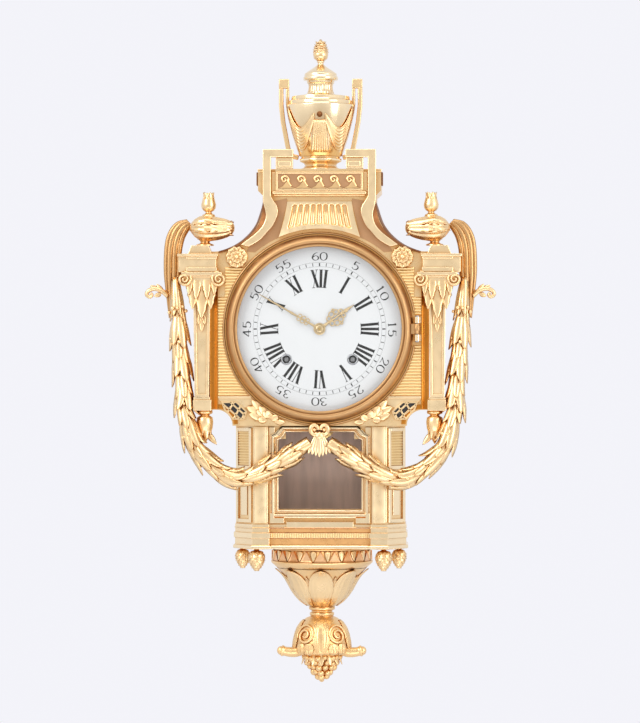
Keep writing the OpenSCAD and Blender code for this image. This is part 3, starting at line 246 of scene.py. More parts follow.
# painted shade: a deep orange copy of the gilt for the garland stems and the hollows beside the pilasters
RECESS_SHADE_GILT = gilt_material("gilt_recess_shade", (0.60, 0.24, 0.038), (0.40, 0.13, 0.015), 0.24, 0.4)
TAWNY_GILT = gilt_material("gilt_tawny", (0.62, 0.37, 0.165), (0.40, 0.18, 0.05), 0.3, 0.46)
CLOTH_GILT = gilt_material("gilt_cloth", (0.91, 0.63, 0.32), (0.62, 0.28, 0.06), 0.26, 0.42)
ROSE_GILT = gilt_material("gilt_rose", (0.90, 0.56, 0.31), (0.66, 0.30, 0.10), 0.26, 0.4)
HAND_GOLD = gilt_material("gilt_hands", (0.64, 0.50, 0.31), (0.40, 0.26, 0.11), 0.3, 0.45, recess=0.002)
ENAMEL = enamel_material()
# the black serves both the dial's paint and the painted shadow of the frets and winding holes
PAINT_AND_SHADOW_BLACK = black_material()
PATINA = patina_material()
STEEL = steel_material()
GLASS = glass_material()

SLOT_LOOK = {
    "gilt_bronze": GILT,
    "movement_brass": BRASS,
    "patinated_brass": PATINA,
    "bell_bronze": BELL_METAL,
    "steel": STEEL,
    "enamel": ENAMEL,
    "clear_glass": GLASS,
}
BURNISHED_NODES = {"bezel", "urn_body", "urn_lid", "window_frame", "key_band_left", "key_band_right",
                   "hinge_bracket"}


def paint_frame():
    """Gives every CAD node the finish of its material slot."""
    for part in frame["record"]["subparts"]:
        look = BURNISHED if part["node"] in BURNISHED_NODES else SLOT_LOOK[part["material_slot"]]
        mesh = nodes[part["node"]].data
        mesh.materials.clear()
        mesh.materials.append(look)


# Studio: camera at the photograph's place, a pale room, soft lamps and a floor well below the clock
PHOTO_WIDTH = 640
PHOTO_HEIGHT = 723
DIAL_PIXEL = (319.5, 329.0)
MM_PER_PIXEL = 1.25
CAMERA_AWAY = 4.0
CAMERA_TURN = math.radians(1.8)
CAMERA_REACH = 50.0
SENSOR = 36.0
PALE = (0.90, 0.90, 0.95)
ROOM = (0.83, 0.80, 0.765)
WINDOW = (1.02, 1.00, 0.985)
SHADE = (0.55, 0.48, 0.42)
SOFT_LIGHT = (0.80, 0.80, 0.82)
LAMP_COLOUR = (1.0, 0.985, 0.96)
LAMP_AIM = Vector((0.0, -0.05, 0.0))
FLOOR_HALF = 2.4
FLOOR_LEVEL = -1.15


def set_camera():
    data = bpy.data.cameras.new("photo_camera")
    data.sensor_fit = "HORIZONTAL"
    data.sensor_width = SENSOR
    data.lens = SENSOR * CAMERA_AWAY / (PHOTO_WIDTH * MM_PER_PIXEL * MM)
    data.clip_end = CAMERA_REACH
    camera = bpy.data.objects.new("photo_camera", data)
    bpy.context.collection.objects.link(camera)
    middle_x = (PHOTO_WIDTH / 2 - DIAL_PIXEL[0]) * MM_PER_PIXEL
    middle_y = (DIAL_PIXEL[1] - PHOTO_HEIGHT / 2) * MM_PER_PIXEL
    turn = Matrix.Rotation(CAMERA_TURN, 3, "Z")
    camera.location = spot(0, 0, DIAL_FACE) + turn @ spot(middle_x, middle_y, CAMERA_AWAY / MM)
    camera.rotation_euler = (math.radians(90), 0, CAMERA_TURN)
    bpy.context.scene.camera = camera


def smooth_step(tree, value, low, high):
    """A smooth step from 0 at low to 1 at high."""
    node = new_node(tree, "MapRange", From_Min=low, From_Max=high, Value=value)
    node.interpolation_type = "SMOOTHSTEP"
    return node.outputs["Result"]


def set_world():
    """A pale sheet behind the clock, bright windows left and right, and a darker room in front and below."""
    world = bpy.data.worlds.new("studio")
    bpy.context.scene.world = world
    world.use_nodes = True
    tree = world.node_tree
    place = new_node(tree, "TexCoord").outputs["Generated"]
    way = new_node(tree, "SeparateXYZ", Vector=place).outputs
    beside = smooth_step(tree, combine(tree, "ABSOLUTE", way["X"]), 0.18, 0.62)
    below = smooth_step(tree, way["Z"], 0.05, -0.75)
    behind = smooth_step(tree, way["Y"], -0.1, 0.45)
    colour = blend(tree, beside, ROOM, WINDOW)
    colour = blend(tree, below, colour, SHADE)
    colour = blend(tree, behind, colour, PALE)
    path = new_node(tree, "LightPath").outputs
    sight = combine(tree, "MAXIMUM", path["Is Camera Ray"], path["Is Glossy Ray"])
    sight = combine(tree, "MAXIMUM", sight, path["Is Transmission Ray"])
    feed(tree, tree.nodes["Background"], {"Color": blend(tree, sight, SOFT_LIGHT, colour), "Strength": 1.0})


def add_lamp(name, place, width, height, power):
    data = bpy.data.lights.new(name, "AREA")
    data.shape = "RECTANGLE"
    data.size = width
    data.size_y = height
    data.energy = power
    data.color = LAMP_COLOUR
    lamp = bpy.data.objects.new(name, data)
    lamp.location = place
    lamp.rotation_euler = (LAMP_AIM - Vector(place)).to_track_quat("-Z", "Y").to_euler()
    bpy.context.collection.objects.link(lamp)


def set_lamps():
    add_lamp("key_left", (-1.9, -2.0, 1.3), 1.3, 1.8, 32.0)
    add_lamp("fill_right", (2.1, -1.8, 0.5), 1.1, 1.9, 22.0)
    add_lamp("top_soft", (0.0, -1.2, 2.2), 2.0, 0.9, 17.0)
    add_lamp("low_soft", (0.2, -1.6, -1.05), 1.8, 0.5, 8.0)


def add_floor():
    material = cloudy_material("pale_floor", (3.0,), (0.3, (0.80, 0.80, 0.83)), (0.7, (0.83, 0.83, 0.86)),
                               Roughness=0.8)[0]
    mesh = bpy.data.meshes.new("floor")
    corners = [(x * FLOOR_HALF, y * FLOOR_HALF, FLOOR_LEVEL) for x, y in ((-1, -1), (1, -1), (1, 1), (-1, 1))]
    mesh.from_pydata(corners, [], [(0, 1, 2, 3)])
    mesh.materials.append(material)
    floor = bpy.data.objects.new("floor", mesh)
    bpy.context.collection.objects.link(floor)


# Mesh tools
CREASE = math.radians(55)
BEVEL_FROM = math.radians(35)
SAME_POINT = 1e-6


class Shape:
    """Collects vertices and faces in the row frame, then becomes one object."""

    def __init__(self):
        self.points = []
        self.faces = []

    def add(self, points, faces):
        start = len(self.points)
        self.points.extend(Vector(p) for p in points)
        self.faces.extend(tuple(start + i for i in face) for face in faces)

    def add_grid(self, rows, close_rows=False, close_columns=False, caps=False):
        """Skins a list of rows of points that all have the same length."""
        tall, count = len(rows), len(rows[0])
        faces = []
        for i in range(tall if close_rows else tall - 1):
            here, above = i * count, (i + 1) % tall * count
            for j in range(count if close_columns else count - 1):
                right = (j + 1) % count
                faces.append((here + j, here + right, above + right, above + j))
        if caps:
            faces.append(tuple(reversed(range(count))))
            faces.append(tuple(range((tall - 1) * count, tall * count)))
        self.add([p for row in rows for p in row], faces)

    def add_rod(self, rows):
        """Skins rows that each close on themselves, with both ends capped."""
        self.add_grid(rows, close_columns=True, caps=True)

    def mirrored(self):
        """The same shape with its own reflection in the plane X = 0 added."""
        count = len(self.points)
        self.points.extend(Vector((-p.x, p.y, p.z)) for p in list(self.points))
        self.faces.extend(tuple(count + i for i in reversed(face)) for face in list(self.faces))
        return self

    def object(self, name, look, replaces=None, body="case", smooth=True, bevel=0.0, thick=0.0,
               slot="gilt_bronze"):
        """Makes the piece; bevel and thick are in millimetres, and thick gives an open sheet its wall."""
        mesh = bpy.data.meshes.new(name)
        mesh.from_pydata([tuple(p) for p in self.points], [], self.faces)
        mesh.update()
        work = bmesh.new()
        work.from_mesh(mesh)
        bmesh.ops.remove_doubles(work, verts=work.verts, dist=SAME_POINT)
        bmesh.ops.recalc_face_normals(work, faces=work.faces)
        work.to_mesh(mesh)
        work.free()
        mesh.materials.append(look)
        for face in mesh.polygons:
            face.use_smooth = smooth
        if smooth and not thick:
            mesh.set_sharp_from_angle(angle=CREASE)
        piece = bpy.data.objects.new(name, mesh)
        bpy.context.collection.objects.link(piece)
        if thick:
            wall = piece.modifiers.new("wall", "SOLIDIFY")
            wall.thickness = thick * MM
            wall.offset = 0.0
        if bevel:
            edge = piece.modifiers.new("edges", "BEVEL")
            edge.width = bevel * MM
            edge.segments = 2
            edge.limit_method = "ANGLE"
            edge.angle_limit = BEVEL_FROM
            edge.harden_normals = False
        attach(piece, body)
        if replaces:
            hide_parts(replaces)


def angles(count, start=0.0):
    """Equal steps round a full turn."""
    return [FULL_TURN * k / count + start for k in range(count)]


def sheet(rows, columns, point):
    """The grid of points that point(t, u) gives for t and u from 0 to 1."""
    return [[point(i / rows, j / columns) for j in range(columns + 1)] for i in range(rows + 1)]


def between(a, b, f):
    """The front-view point a fraction f of the way from a to b."""
    return a[0] + (b[0] - a[0]) * f, a[1] + (b[1] - a[1]) * f


def handed(hand, outline):
    """A front-view outline, on the left side when hand is -1."""
    return [(hand * x, y) for x, y in outline]


def lathe(shape, profile, at, segments=40, sweep=360.0, flute=None, caps=True):
    """Adds a profile of (radius, height) turned about an upright axis at (x, y, out).
    flute(angle, height) scales the radius, for gadroons."""
    x, y, out = at
    rows = []
    for radius, height in profile:
        row = []
        for k in range(segments if sweep >= 360.0 else segments + 1):
            angle = math.radians(sweep * k / segments)
            r = radius * (flute(angle, height) if flute else 1.0)
            row.append(spot(x + r * math.cos(angle), y + height, out + r * math.sin(angle)))
        rows.append(row)
    shape.add_grid(rows, close_columns=True, caps=caps)


def solid_ring(shape, profile, at, segments=192, start=0.0, sweep=360.0):
    """A closed profile of (radius, out) turned about an axis that points out from the wall."""
    closed = sweep >= 360.0
    rows = []
    for k in range(segments if closed else segments + 1):
        a = math.radians(start + sweep * k / segments)
        rows.append([spot(at[0] + r * math.cos(a), at[1] + r * math.sin(a), out) for r, out in profile])
    shape.add_grid(rows, close_rows=closed, close_columns=True, caps=not closed)


def prism(shape, outline, out0, out1):
    """Adds a closed front-view outline as a block between two distances from the wall."""
    count = len(outline)
    points = [spot(x, y, out) for out in (out0, out1) for x, y in outline]
    faces = [tuple(range(count)), tuple(reversed(range(count, 2 * count)))]
    faces += [(i, (i + 1) % count, count + (i + 1) % count, count + i) for i in range(count)]
    shape.add(points, faces)


def block(shape, x0, x1, y0, y1, out0, out1):
    prism(shape, [(x0, y0), (x1, y0), (x1, y1), (x0, y1)], out0, out1)


def middle_block(shape, half, y0, y1, out0, out1):
    """A block that reaches as far to the left of the clock's middle as to the right."""
    block(shape, -half, half, y0, y1, out0, out1)


def curve_point(points, t):
    """A point on the smooth curve through the points; t runs from 0 to 1."""
    n = len(points) - 1
    place = min(max(t, 0.0), 1.0) * n
    i = min(int(place), n - 1)
    f = place - i
    a, b, c, d = (Vector(points[k]) for k in (max(i - 1, 0), i, i + 1, min(i + 2, n)))
    bend = (2 * a - 5 * b + 4 * c - d) * f ** 2 + (3 * b - a - 3 * c + d) * f ** 3
    return 0.5 * (2 * b + (c - a) * f + bend)


def smooth_line(points, steps):
    """Points of the smooth curve through front-view points."""
    flat = [(x, y, 0.0) for x, y in points]
    return [curve_point(flat, k / steps)[:2] for k in range(steps + 1)]


def tube(shape, points, radius, steps=40, sides=12):
    """Adds a round strand along a curve of row-frame points; radius(t) is in millimetres."""
    rows = []
    for k in range(steps + 1):
        t = k / steps
        here = curve_point(points, t)
        way = (curve_point(points, t + 0.01) - curve_point(points, t - 0.01)).normalized()
        side = way.cross(FRONT).normalized()
        lift = side.cross(way).normalized()
        r = radius(t) * MM
        rows.append([here + r * (math.cos(a) * side + math.sin(a) * lift) for a in angles(sides)])
    shape.add_rod(rows)


def ball(shape, at, radius, sides=10, rings=6):
    """A small berry; at is a point of the row frame and radius is in millimetres."""
    rows = []
    for i in range(1, rings):
        wide, high = math.sin(math.pi * i / rings), math.cos(math.pi * i / rings)
        rows.append([at + radius * MM * Vector((wide * math.cos(b), wide * math.sin(b), high))
                     for b in angles(sides)])
    shape.add_rod(rows)


LEAF_ACROSS = (-1.0, -0.55, 0.0, 0.55, 1.0)
LEAF_VEIN = 0.12


def leaf(shape, base, tip, width, up=FRONT, curl=0.15, lobes=0, rows=10, fold=-0.3, belly=0.5):
    """Adds a pointed leaf from base to tip; up is the way its face looks, and width is in millimetres.
    curl bends the tip toward up, fold lifts the edges, and lobes cuts scallops into the rim."""
    way = tip - base
    length = way.length
    way.normalize()
    up = (Vector(up) - Vector(up).dot(way) * way).normalized()
    side = way.cross(up)
    grid = []
    for i in range(rows + 1):
        t = i / rows
        half = width * MM / 2 * (math.sin(math.pi * t ** (0.35 + belly * 0.9)) ** 0.8 * 0.96 + 0.04 * (1 - t))
        if lobes:
            half *= 1.0 - 0.22 * abs(math.sin(math.pi * lobes * t))
        row = []
        for s in LEAF_ACROSS:
            lift = curl * length * t ** 2 + (fold * abs(s) ** 1.5 if s else -LEAF_VEIN) * half
            row.append(base + way * (length * t) + side * (s * half) + up * lift)
        grid.append(row)
    shape.add_grid(grid)


def leaf_ring(shape, centre, turns, foot, tip, width, **form):
    """Leaves that face out from an upright axis at (x, out); foot and tip are (radius, y)."""
    for a in turns:
        x, out = math.cos(a), math.sin(a)
        ends = [spot(centre[0] + r * x, y, centre[1] + r * out) for r, y in (foot, tip)]
        leaf(shape, *ends, width, spot(x, 0, out), **form)


CORNER = math.radians(22)


def crisp(profile, soft=0.35):
    """Doubles the sharp corners of a profile, so that smooth shading keeps them as narrow rounds."""
    result = [profile[0]]
    for a, b, c in zip(profile, profile[1:], profile[2:]):
        before, after = Vector(b) - Vector(a), Vector(c) - Vector(b)
        if before.length and after.length and before.angle(after) > CORNER:
            cut = min(soft, before.length * 0.4, after.length * 0.4)
            result.append(tuple(Vector(b) - before.normalized() * cut))
            result.append(tuple(Vector(b) + after.normalized() * cut))
        else:
            result.append(b)
    result.append(profile[-1])
    return result


def radius_at(profile, height):
    """The radius of a profile that only rises or only falls, held beyond its ends."""
    for (r0, h0), (r1, h1) in zip(profile, profile[1:]):
        if min(h0, h1) <= height <= max(h0, h1):
            return r0 + (r1 - r0) * (height - h0) / (h1 - h0)
    return min(profile[0], profile[-1], key=lambda end: abs(end[1] - height))[0]


def strip(points, half):
    """A closed outline of even width along an open front-view polyline."""
    left, right = [], []
    for i, (x, y) in enumerate(points):
        ends = [(points[k], points[k + 1]) for k in (i - 1, i) if 0 <= k < len(points) - 1]
        ways = [(Vector(b) - Vector(a)).normalized() for a, b in ends]
        way = sum(ways, Vector((0, 0))).normalized()
        reach = half / max(0.4, way.dot(ways[0]))
        left.append((x - way.y * reach, y + way.x * reach))
        right.append((x + way.y * reach, y - way.x * reach))
    return left + right[::-1]


# Dial marks and hands
ROMAN_IN = 52.0
ROMAN_OUT = 74.0
TRACK_IN = 78.5
TRACK_OUT = 82.5
TRACK_GAP = 0.6
TRACK_LINE = 0.11
FIGURE_IN = 86.0
FIGURE_TALL = 10.0
FIGURE_WIDE = 9.2
FIGURE_PITCH = 10.4
PEN_THICK = 1.7
PEN_THIN = 0.55
PAINT_FACE = DIAL_FACE + 0.06
THICK_STEM = 3.3
THIN_STEM = 0.8
SERIF = 0.7
HOURS = ["XII", "I", "II", "III", "IIII", "V", "VI", "VII", "VIII", "IX", "X", "XI"]
ADVANCE = {"I": 5.6, "V": 8.8, "X": 9.2}

# Strokes of the hour letters as (foot, head, width), and their serifs as (across, radius, half width)
LETTERS = {
    "I": ([(0, 0, THICK_STEM)], [(0, ROMAN_IN, 2.6), (0, ROMAN_OUT, 2.6)]),
    "V": ([(0.4, -2.8, THICK_STEM), (0.6, 3.2, THIN_STEM)], [(-2.8, ROMAN_OUT, 2.4), (3.2, ROMAN_OUT, 1.6)]),
    "X": ([(2.7, -2.7, THICK_STEM), (-2.9, 2.9, THIN_STEM)],
          [(u, v, 2.0) for v in (ROMAN_IN, ROMAN_OUT) for u in (-2.8, 2.8)]),
}

# Figures as strokes through points of a unit box
FIGURES = {
    "0": [[(0.5, 1.0), (0.16, 0.85), (0.04, 0.5), (0.16, 0.15), (0.5, 0.0), (0.84, 0.15), (0.96, 0.5),
           (0.84, 0.85), (0.5, 1.0)]],
    "1": [[(0.5, 0.0), (0.5, 0.5), (0.5, 1.0)], [(0.3, 0.84), (0.4, 0.9), (0.5, 1.0)],
          [(0.3, 0.0), (0.7, 0.0)]],
    "2": [[(0.12, 0.72), (0.22, 0.92), (0.5, 1.0), (0.82, 0.86), (0.8, 0.58), (0.5, 0.32), (0.1, 0.02)],
          [(0.1, 0.02), (0.5, 0.05), (0.92, 0.0)]],
    "3": [[(0.14, 0.82), (0.42, 1.0), (0.76, 0.88), (0.72, 0.64), (0.42, 0.54)],
          [(0.42, 0.54), (0.82, 0.44), (0.88, 0.2), (0.52, 0.0), (0.1, 0.14)]],
    "4": [[(0.68, 1.0), (0.36, 0.64), (0.05, 0.28)], [(0.05, 0.28), (0.5, 0.28), (0.98, 0.28)],
          [(0.68, 1.0), (0.68, 0.5), (0.68, 0.0)]],
    "5": [[(0.86, 1.0), (0.54, 0.97), (0.26, 1.0)], [(0.26, 1.0), (0.22, 0.78), (0.2, 0.54)],
          [(0.2, 0.54), (0.5, 0.64), (0.84, 0.5), (0.84, 0.2), (0.5, 0.0), (0.1, 0.12)]],
    "6": [[(0.82, 0.96), (0.46, 0.86), (0.16, 0.56), (0.1, 0.26), (0.44, 0.0), (0.84, 0.12), (0.86, 0.42),
           (0.52, 0.58), (0.16, 0.4)]],
}


def dial_spot(clock_angle, across, radius, out):
    """A point on the dial: clock_angle in degrees clockwise from the top, across to the right of that ray."""
    turn = math.radians(clock_angle)
    return spot(radius * math.sin(turn) + across * math.cos(turn),
                radius * math.cos(turn) - across * math.sin(turn), out)


def bar(shape, clock_angle, foot, head, width):
    """A flat stroke of paint from (across, radius) foot to head, cut level at both ends."""
    corners = [(foot[0] - width / 2, foot[1]), (foot[0] + width / 2, foot[1]),
               (head[0] + width / 2, head[1]), (head[0] - width / 2, head[1])]
    shape.add([dial_spot(clock_angle, u, v, PAINT_FACE) for u, v in corners], [(0, 1, 2, 3)])


def roman_letter(shape, letter, clock_angle):
    strokes, serifs = LETTERS[letter]
    for foot, head, width in strokes:
        bar(shape, clock_angle, (foot, ROMAN_IN), (head, ROMAN_OUT), width)
    for u, v, half in serifs:
        bar(shape, clock_angle, (u, v - SERIF / 2), (u, v + SERIF / 2), 2 * half)


def pen_stroke(shape, clock_angle, stroke):
    """A stroke of a figure: thick where it runs along the radius and thin across it."""
    steps = 6 * (len(stroke) - 1)
    points = [(x * FIGURE_WIDE, y * FIGURE_TALL, 0.0) for x, y in stroke]
    rows = []
    for k in range(steps + 1):
        t = k / steps
        here = curve_point(points, t)
        way = (curve_point(points, t + 0.02) - curve_point(points, t - 0.02)).normalized()
        half = (PEN_THIN + (PEN_THICK - PEN_THIN) * abs(way.y) ** 1.6) / 2
        u, v = here.x - FIGURE_WIDE / 2, FIGURE_IN + here.y
        rows.append([dial_spot(clock_angle, u - side * way.y * half, v + side * way.x * half, PAINT_FACE)
                     for side in (1, -1)])
    shape.add_grid(rows)


def dial_marks():
    """Roman hours, the ringed track of minutes and the Arabic minutes, all with their heads outward."""
    hours = Shape()
    middle = (ROMAN_IN + ROMAN_OUT) / 2
    for hour, word in enumerate(HOURS):
        across = -sum(ADVANCE[letter] for letter in word) / 2
        for letter in word:
            centre = across + ADVANCE[letter] / 2
            roman_letter(hours, letter, hour * 30 + math.degrees(centre / middle))
            across += ADVANCE[letter]
    hours.object("dial_hours", PAINT_AND_SHADOW_BLACK, slot="enamel")
    fine = Shape()
    for minute in range(60):
        bar(fine, minute * 6, (0, TRACK_IN), (0, TRACK_OUT), 0.9 if minute % 5 else 1.5)
    for radius in (TRACK_IN - TRACK_GAP, TRACK_OUT + TRACK_GAP):
        for k in range(180):
            bar(fine, k * 2, (0, radius - TRACK_LINE), (0, radius + TRACK_LINE), radius * 0.035)
    for minute in range(5, 65, 5):
        word = str(minute)
        for k, letter in enumerate(word):
            place = (k - (len(word) - 1) / 2) * FIGURE_PITCH
            turn = minute * 6 + math.degrees(place / (FIGURE_IN + FIGURE_TALL / 2))
            for stroke in FIGURES[letter]:
                pen_stroke(fine, turn, stroke)
    fine.object("dial_minutes", PAINT_AND_SHADOW_BLACK, slot="enamel")


HOUR_BLADE = [(6, 2.4), (10, 1.8), (16, 1.3), (38, 1.0), (44, 1.9), (48, 0.9), (53, 0.3)]
MINUTE_BLADE = [(4, 2.0), (9, 1.5), (20, 1.1), (30, 1.0), (40, 1.6), (46, 1.0), (62, 1.2), (87, 0.35)]
HOUR_RINGS = [(3.6, 17, 2.8, 0.75), (6.4, 22.5, 3.2, 0.75), (5.6, 29, 2.9, 0.75), (3.2, 34.5, 2.3, 0.75),
              (9.6, 27, 1.5, 0.75), (0, 40, 1.9, 0.7)]
MINUTE_RINGS = [(2.2, 18, 2.0, 0.6), (2.2, 23.5, 2.4, 0.6), (2.2, 29, 2.1, 0.6)]


def clock_hand(node, body, turn, hub, blade, rings):
    """A pierced hand at its angle at rest: a hub of (radius, hole, height), a blade with a raised spine
    through (distance, half width), and pairs of scroll rings of (across, distance, radius, wire)."""
    shape = Shape()
    back = span(node)[4]

    def place(u, v, lift):
        return dial_spot(turn, u, v, back + lift)

    radius, hole, height = hub
    profile = [(hole, 0.0), (radius, 0.0), (radius, height * 0.5), (radius * 0.8, height), (hole, height)]
    shape.add_grid([[place(r * math.cos(a), r * math.sin(a), lift) for a in angles(40)]
                    for r, lift in profile], close_rows=True, close_columns=True)
    spine = ((-1, 0.0), (-0.9, 0.45), (0, 0.95), (0.9, 0.45), (1, 0.0))
    shape.add_rod([[place(half * s, v, lift) for s, lift in spine] for v, half in blade])
    for across, v, radius, wire in rings:
        for u in sorted({across, -across}):
            section = [(radius + wire * math.cos(b), 0.5 + 0.6 * wire * math.sin(b)) for b in angles(8)]
            shape.add_grid([[place(u + r * math.cos(a), v + r * math.sin(a), lift) for r, lift in section]
                            for a in angles(20)], close_rows=True, close_columns=True)
    shape.object(node + "_filigree", HAND_GOLD, node, body)


# Laurel garlands and their bow
GARLAND_PATH = [(181, 65, 94), (179, 38, 94), (177, 5, 94), (175, -26, 94), (172, -57, 95), (169.4, -85, 98),
                (168.8, -102, 101), (164.5, -118, 104), (161, -132, 104), (155, -148, 104), (142, -164, 101),
                (126, -178, 98), (111, -186, 97.3), (97.5, -187.5, 98.3), (78.5, -182, 99.3),
                (59.5, -172.5, 100.3), (40, -161, 102.3), (24, -150, 104.3), (11.5, -141.5, 105.3)]
BUNDLE = 40.0
LEAF_LONG = 52.0
LEAF_WIDE = 17.0
LEAF_FOOT = 3.6
TAPER = 60.0
LAST_BUNDLE = 20.0
FIRST_BERRIES = 15.0
BERRY_REACH = 10.4

# Two rings of leaves to a bundle as (count, reach, flare, start), and a leaf's section as (across, rise)
LEAF_RINGS = ((6, 11.6, 3.0, 0.0), (6, 9.4, 2.4, 16.0))
LEAF_SECTION = ((-1.0, 0.0), (-0.7, 0.7), (-0.35, 0.1), (0.0, 1.0), (0.35, 0.1), (0.7, 0.7), (1.0, 0.0))


def walk(points):
    """Places a millimetre apart along a curve of front-view points: (distance, point, direction)."""
    fine = [curve_point(points, k / 600) for k in range(601)]
    places, run = [], 0.0
    for a, b in zip(fine, fine[1:]):
        hop = (b - a).length
        while run + hop >= len(places):
            places.append((len(places), a.lerp(b, (len(places) - run) / hop), (b - a).normalized()))
        run += hop
    return places


def around(place, angle):
    """The way out from a strand at one of its places."""
    side = place[2].cross(Vector((0, 0, 1))).normalized()
    return math.cos(angle) * side + math.sin(angle) * side.cross(place[2]).normalized()


def strand_leaf(shape, places, start, long, angle, wide, reach, flare):
    """A long grooved leaf that lies along a strand and leaves it only at the tip; sizes in millimetres."""
    grid = []
    for i in range(13):
        t = i / 12
        place = places[min(int(start + long * t), len(places) - 1)]
        far = LEAF_FOOT + (reach - LEAF_FOOT) * math.sin(math.pi / 2 * min(1.0, 1.3 * t))
        far += flare * max(0.0, t - 0.5) ** 2 / 0.25
        far *= min(1.0, 0.5 + (places[-1][0] - place[0]) / TAPER)
        half = wide / 2 * (math.sin(math.pi * t ** 0.85) ** 0.55 + 0.03)
        row = []
        for s, rise in LEAF_SECTION:
            rise -= 0.3 * half * abs(s) ** 1.8
            row.append(spot(*(place[1] + around(place, angle + s * half / far) * (far + rise))))
        grid.append(row)
    shape.add_grid(grid)


def garland(hand, node):
    """Bundles of long leaves that overlap down the strand, with berries where a bundle springs."""
    rng = random.Random(11)
    points = [(hand * x, y, out) for x, y, out in GARLAND_PATH]
    places = walk(points)
    total = places[-1][0]
    leaves, fruit, stem = Shape(), Shape(), Shape()
    start = 0.0
    while start < total - LAST_BUNDLE:
        size = min(1.06, 0.7 + start / 120)
        for ring, (count, reach, flare, late) in enumerate(LEAF_RINGS):
            for k in range(count):
                angle = FULL_TURN * (k + 0.5 * ring + rng.uniform(-0.16, 0.16)) / count
                long = min(LEAF_LONG * rng.uniform(0.84, 1.1), total - start - late)
                strand_leaf(leaves, places, start + late + rng.uniform(0, 5), long, angle,
                            LEAF_WIDE * size * rng.uniform(0.85, 1.12), reach * size,
                            flare * size * rng.uniform(0.2, 1.3))
        if start > FIRST_BERRIES:
            place = places[int(start)]
            for k in range(5):
                out = around(place, math.pi * (0.1 + 0.2 * k + rng.uniform(-0.05, 0.05)))
                at = spot(*(place[1] + out * BERRY_REACH * size + place[2] * rng.uniform(-3, 4)))
                ball(fruit, at, rng.uniform(2.0, 2.8))
        start += BUNDLE
    leaves.object(node + "_leaves", GILT, node, thick=0.7)
    fruit.object(node + "_berries", GILT)
    tube(stem, [spot(*p) for p in points], lambda t: 6.2 - 2.6 * abs(2 * t - 1) ** 6, steps=90)
    # painted shade: the stem, deep in the leaves, takes the deep orange gilt
    stem.object(node + "_stem", RECESS_SHADE_GILT)


def garland_bow():
    """A clasp of two upright loops over a knot, with a fan of grooved leaves below it."""
    _, _, _, top, back, front = span("garland_bow")
    loop_x, loop_y, knot_y = 6.2, top - 6.2, top - 14
    loops = Shape()
    for hand in (-1, 1):
        ring = [spot(hand * (loop_x + 4.6 * math.cos(a)), loop_y + 6.0 * math.sin(a), front - 3)
                for a in (math.radians(-140 + 20 * k) for k in range(17))]
        tube(loops, ring, lambda t: 3.1 - 0.7 * abs(2 * t - 1), steps=60)
        ball(loops, spot(hand * loop_x, loop_y, front - 3.4), 2.6, 14, 8)
    rows = []
    for r, out in ((0.6, front + 0.6), (4, front), (6.2, front - 2.4), (6.8, front - 6), (6.4, back)):
        lobed = [(a, r * (1 + 0.1 * math.cos(8 * a))) for a in angles(32)]
        rows.append([spot(far * math.cos(a), knot_y + far * math.sin(a), out) for a, far in lobed])
    loops.add_rod(rows)
    loops.object("garland_bow_knot", GILT, "garland_bow")
    fan = Shape()
    for k in range(-3, 4):
        foot = spot(1.2 * k, knot_y + 3, front + 0.4 - 0.6 * abs(k))
        tip = spot(4.6 * k, knot_y - 27 + 1.6 * abs(k), front - 2)
        leaf(fan, foot, tip, 6.4, curl=0.1, rows=14, fold=-0.7, belly=0.9)
    fan.object("garland_bow_leaves", PALE_GILT, thick=0.9)


# Crest: urn, key bands, frieze and flutes
URN_OUT = 54.0
URN_PROFILE = [(24.5, 0.2), (24.5, 3), (21.5, 4.5), (20, 7), (21, 9.5), (24, 11), (26.5, 12), (26.5, 15),
               (24.5, 16.2), (24.5, 17.5), (27, 19), (30, 27), (34.2, 40), (38, 53), (41.2, 66), (43.3, 77),
               (43.8, 82), (43.8, 83.2), (41, 83.6), (40.6, 86.5), (40.6, 88.5), (37.4, 89.2), (37, 92),
               (36.4, 94)]
LID_PROFILE = [(36.2, 91.2), (36.2, 94.1), (29, 95.3), (19.5, 96), (17, 98), (15.6, 102), (15, 107),
               (15.6, 110), (17.3, 111.5), (17.3, 114.4), (21.8, 115), (21.8, 118.6), (20.4, 120.4),
               (20.4, 123), (15, 127), (8, 131.4), (4, 134.5), (3.4, 136.4), (5.2, 138.4), (3.6, 140.4),
               (3.6, 144.2)]
PINE_CORE = ((0.4, 0), (0.84, 0.1), (0.94, 0.28), (0.8, 0.52), (0.5, 0.76), (0.1, 0.99))
HANDLE_LINE = [(49.9, 304.6), (49.8, 283), (47.5, 262), (41.0, 228), (36, 219), (28, 217)]
HANDLE_HALF = 4.4
HANDLE_BLOCKS = ((39.8, 43.8, 283, 304.4), (39.8, 52.8, 304.5, 316.5))
CLOTH_FOLDS = 7
BOSS_HEIGHT = 69
BOSS = ((0.3, 3.6), (1.6, 3.2), (2.3, 1.8), (3.1, 1.4), (3.6, 0.2))


def on_urn(x, height, proud):
    """A point of the urn's front at a height above its foot, standing proud of its skin."""
    r = radius_at(URN_PROFILE, height) + proud
    return spot(x, SLAB_TOP + height, URN_OUT + math.sqrt(max(r * r - x * x, 1.0)))


def gadroon(angle, height):
    """Shallow lobes round the neck of the lid."""
    return 0.97 + 0.045 * abs(math.sin(12 * angle)) if 96.5 < height < 111 else 1.0


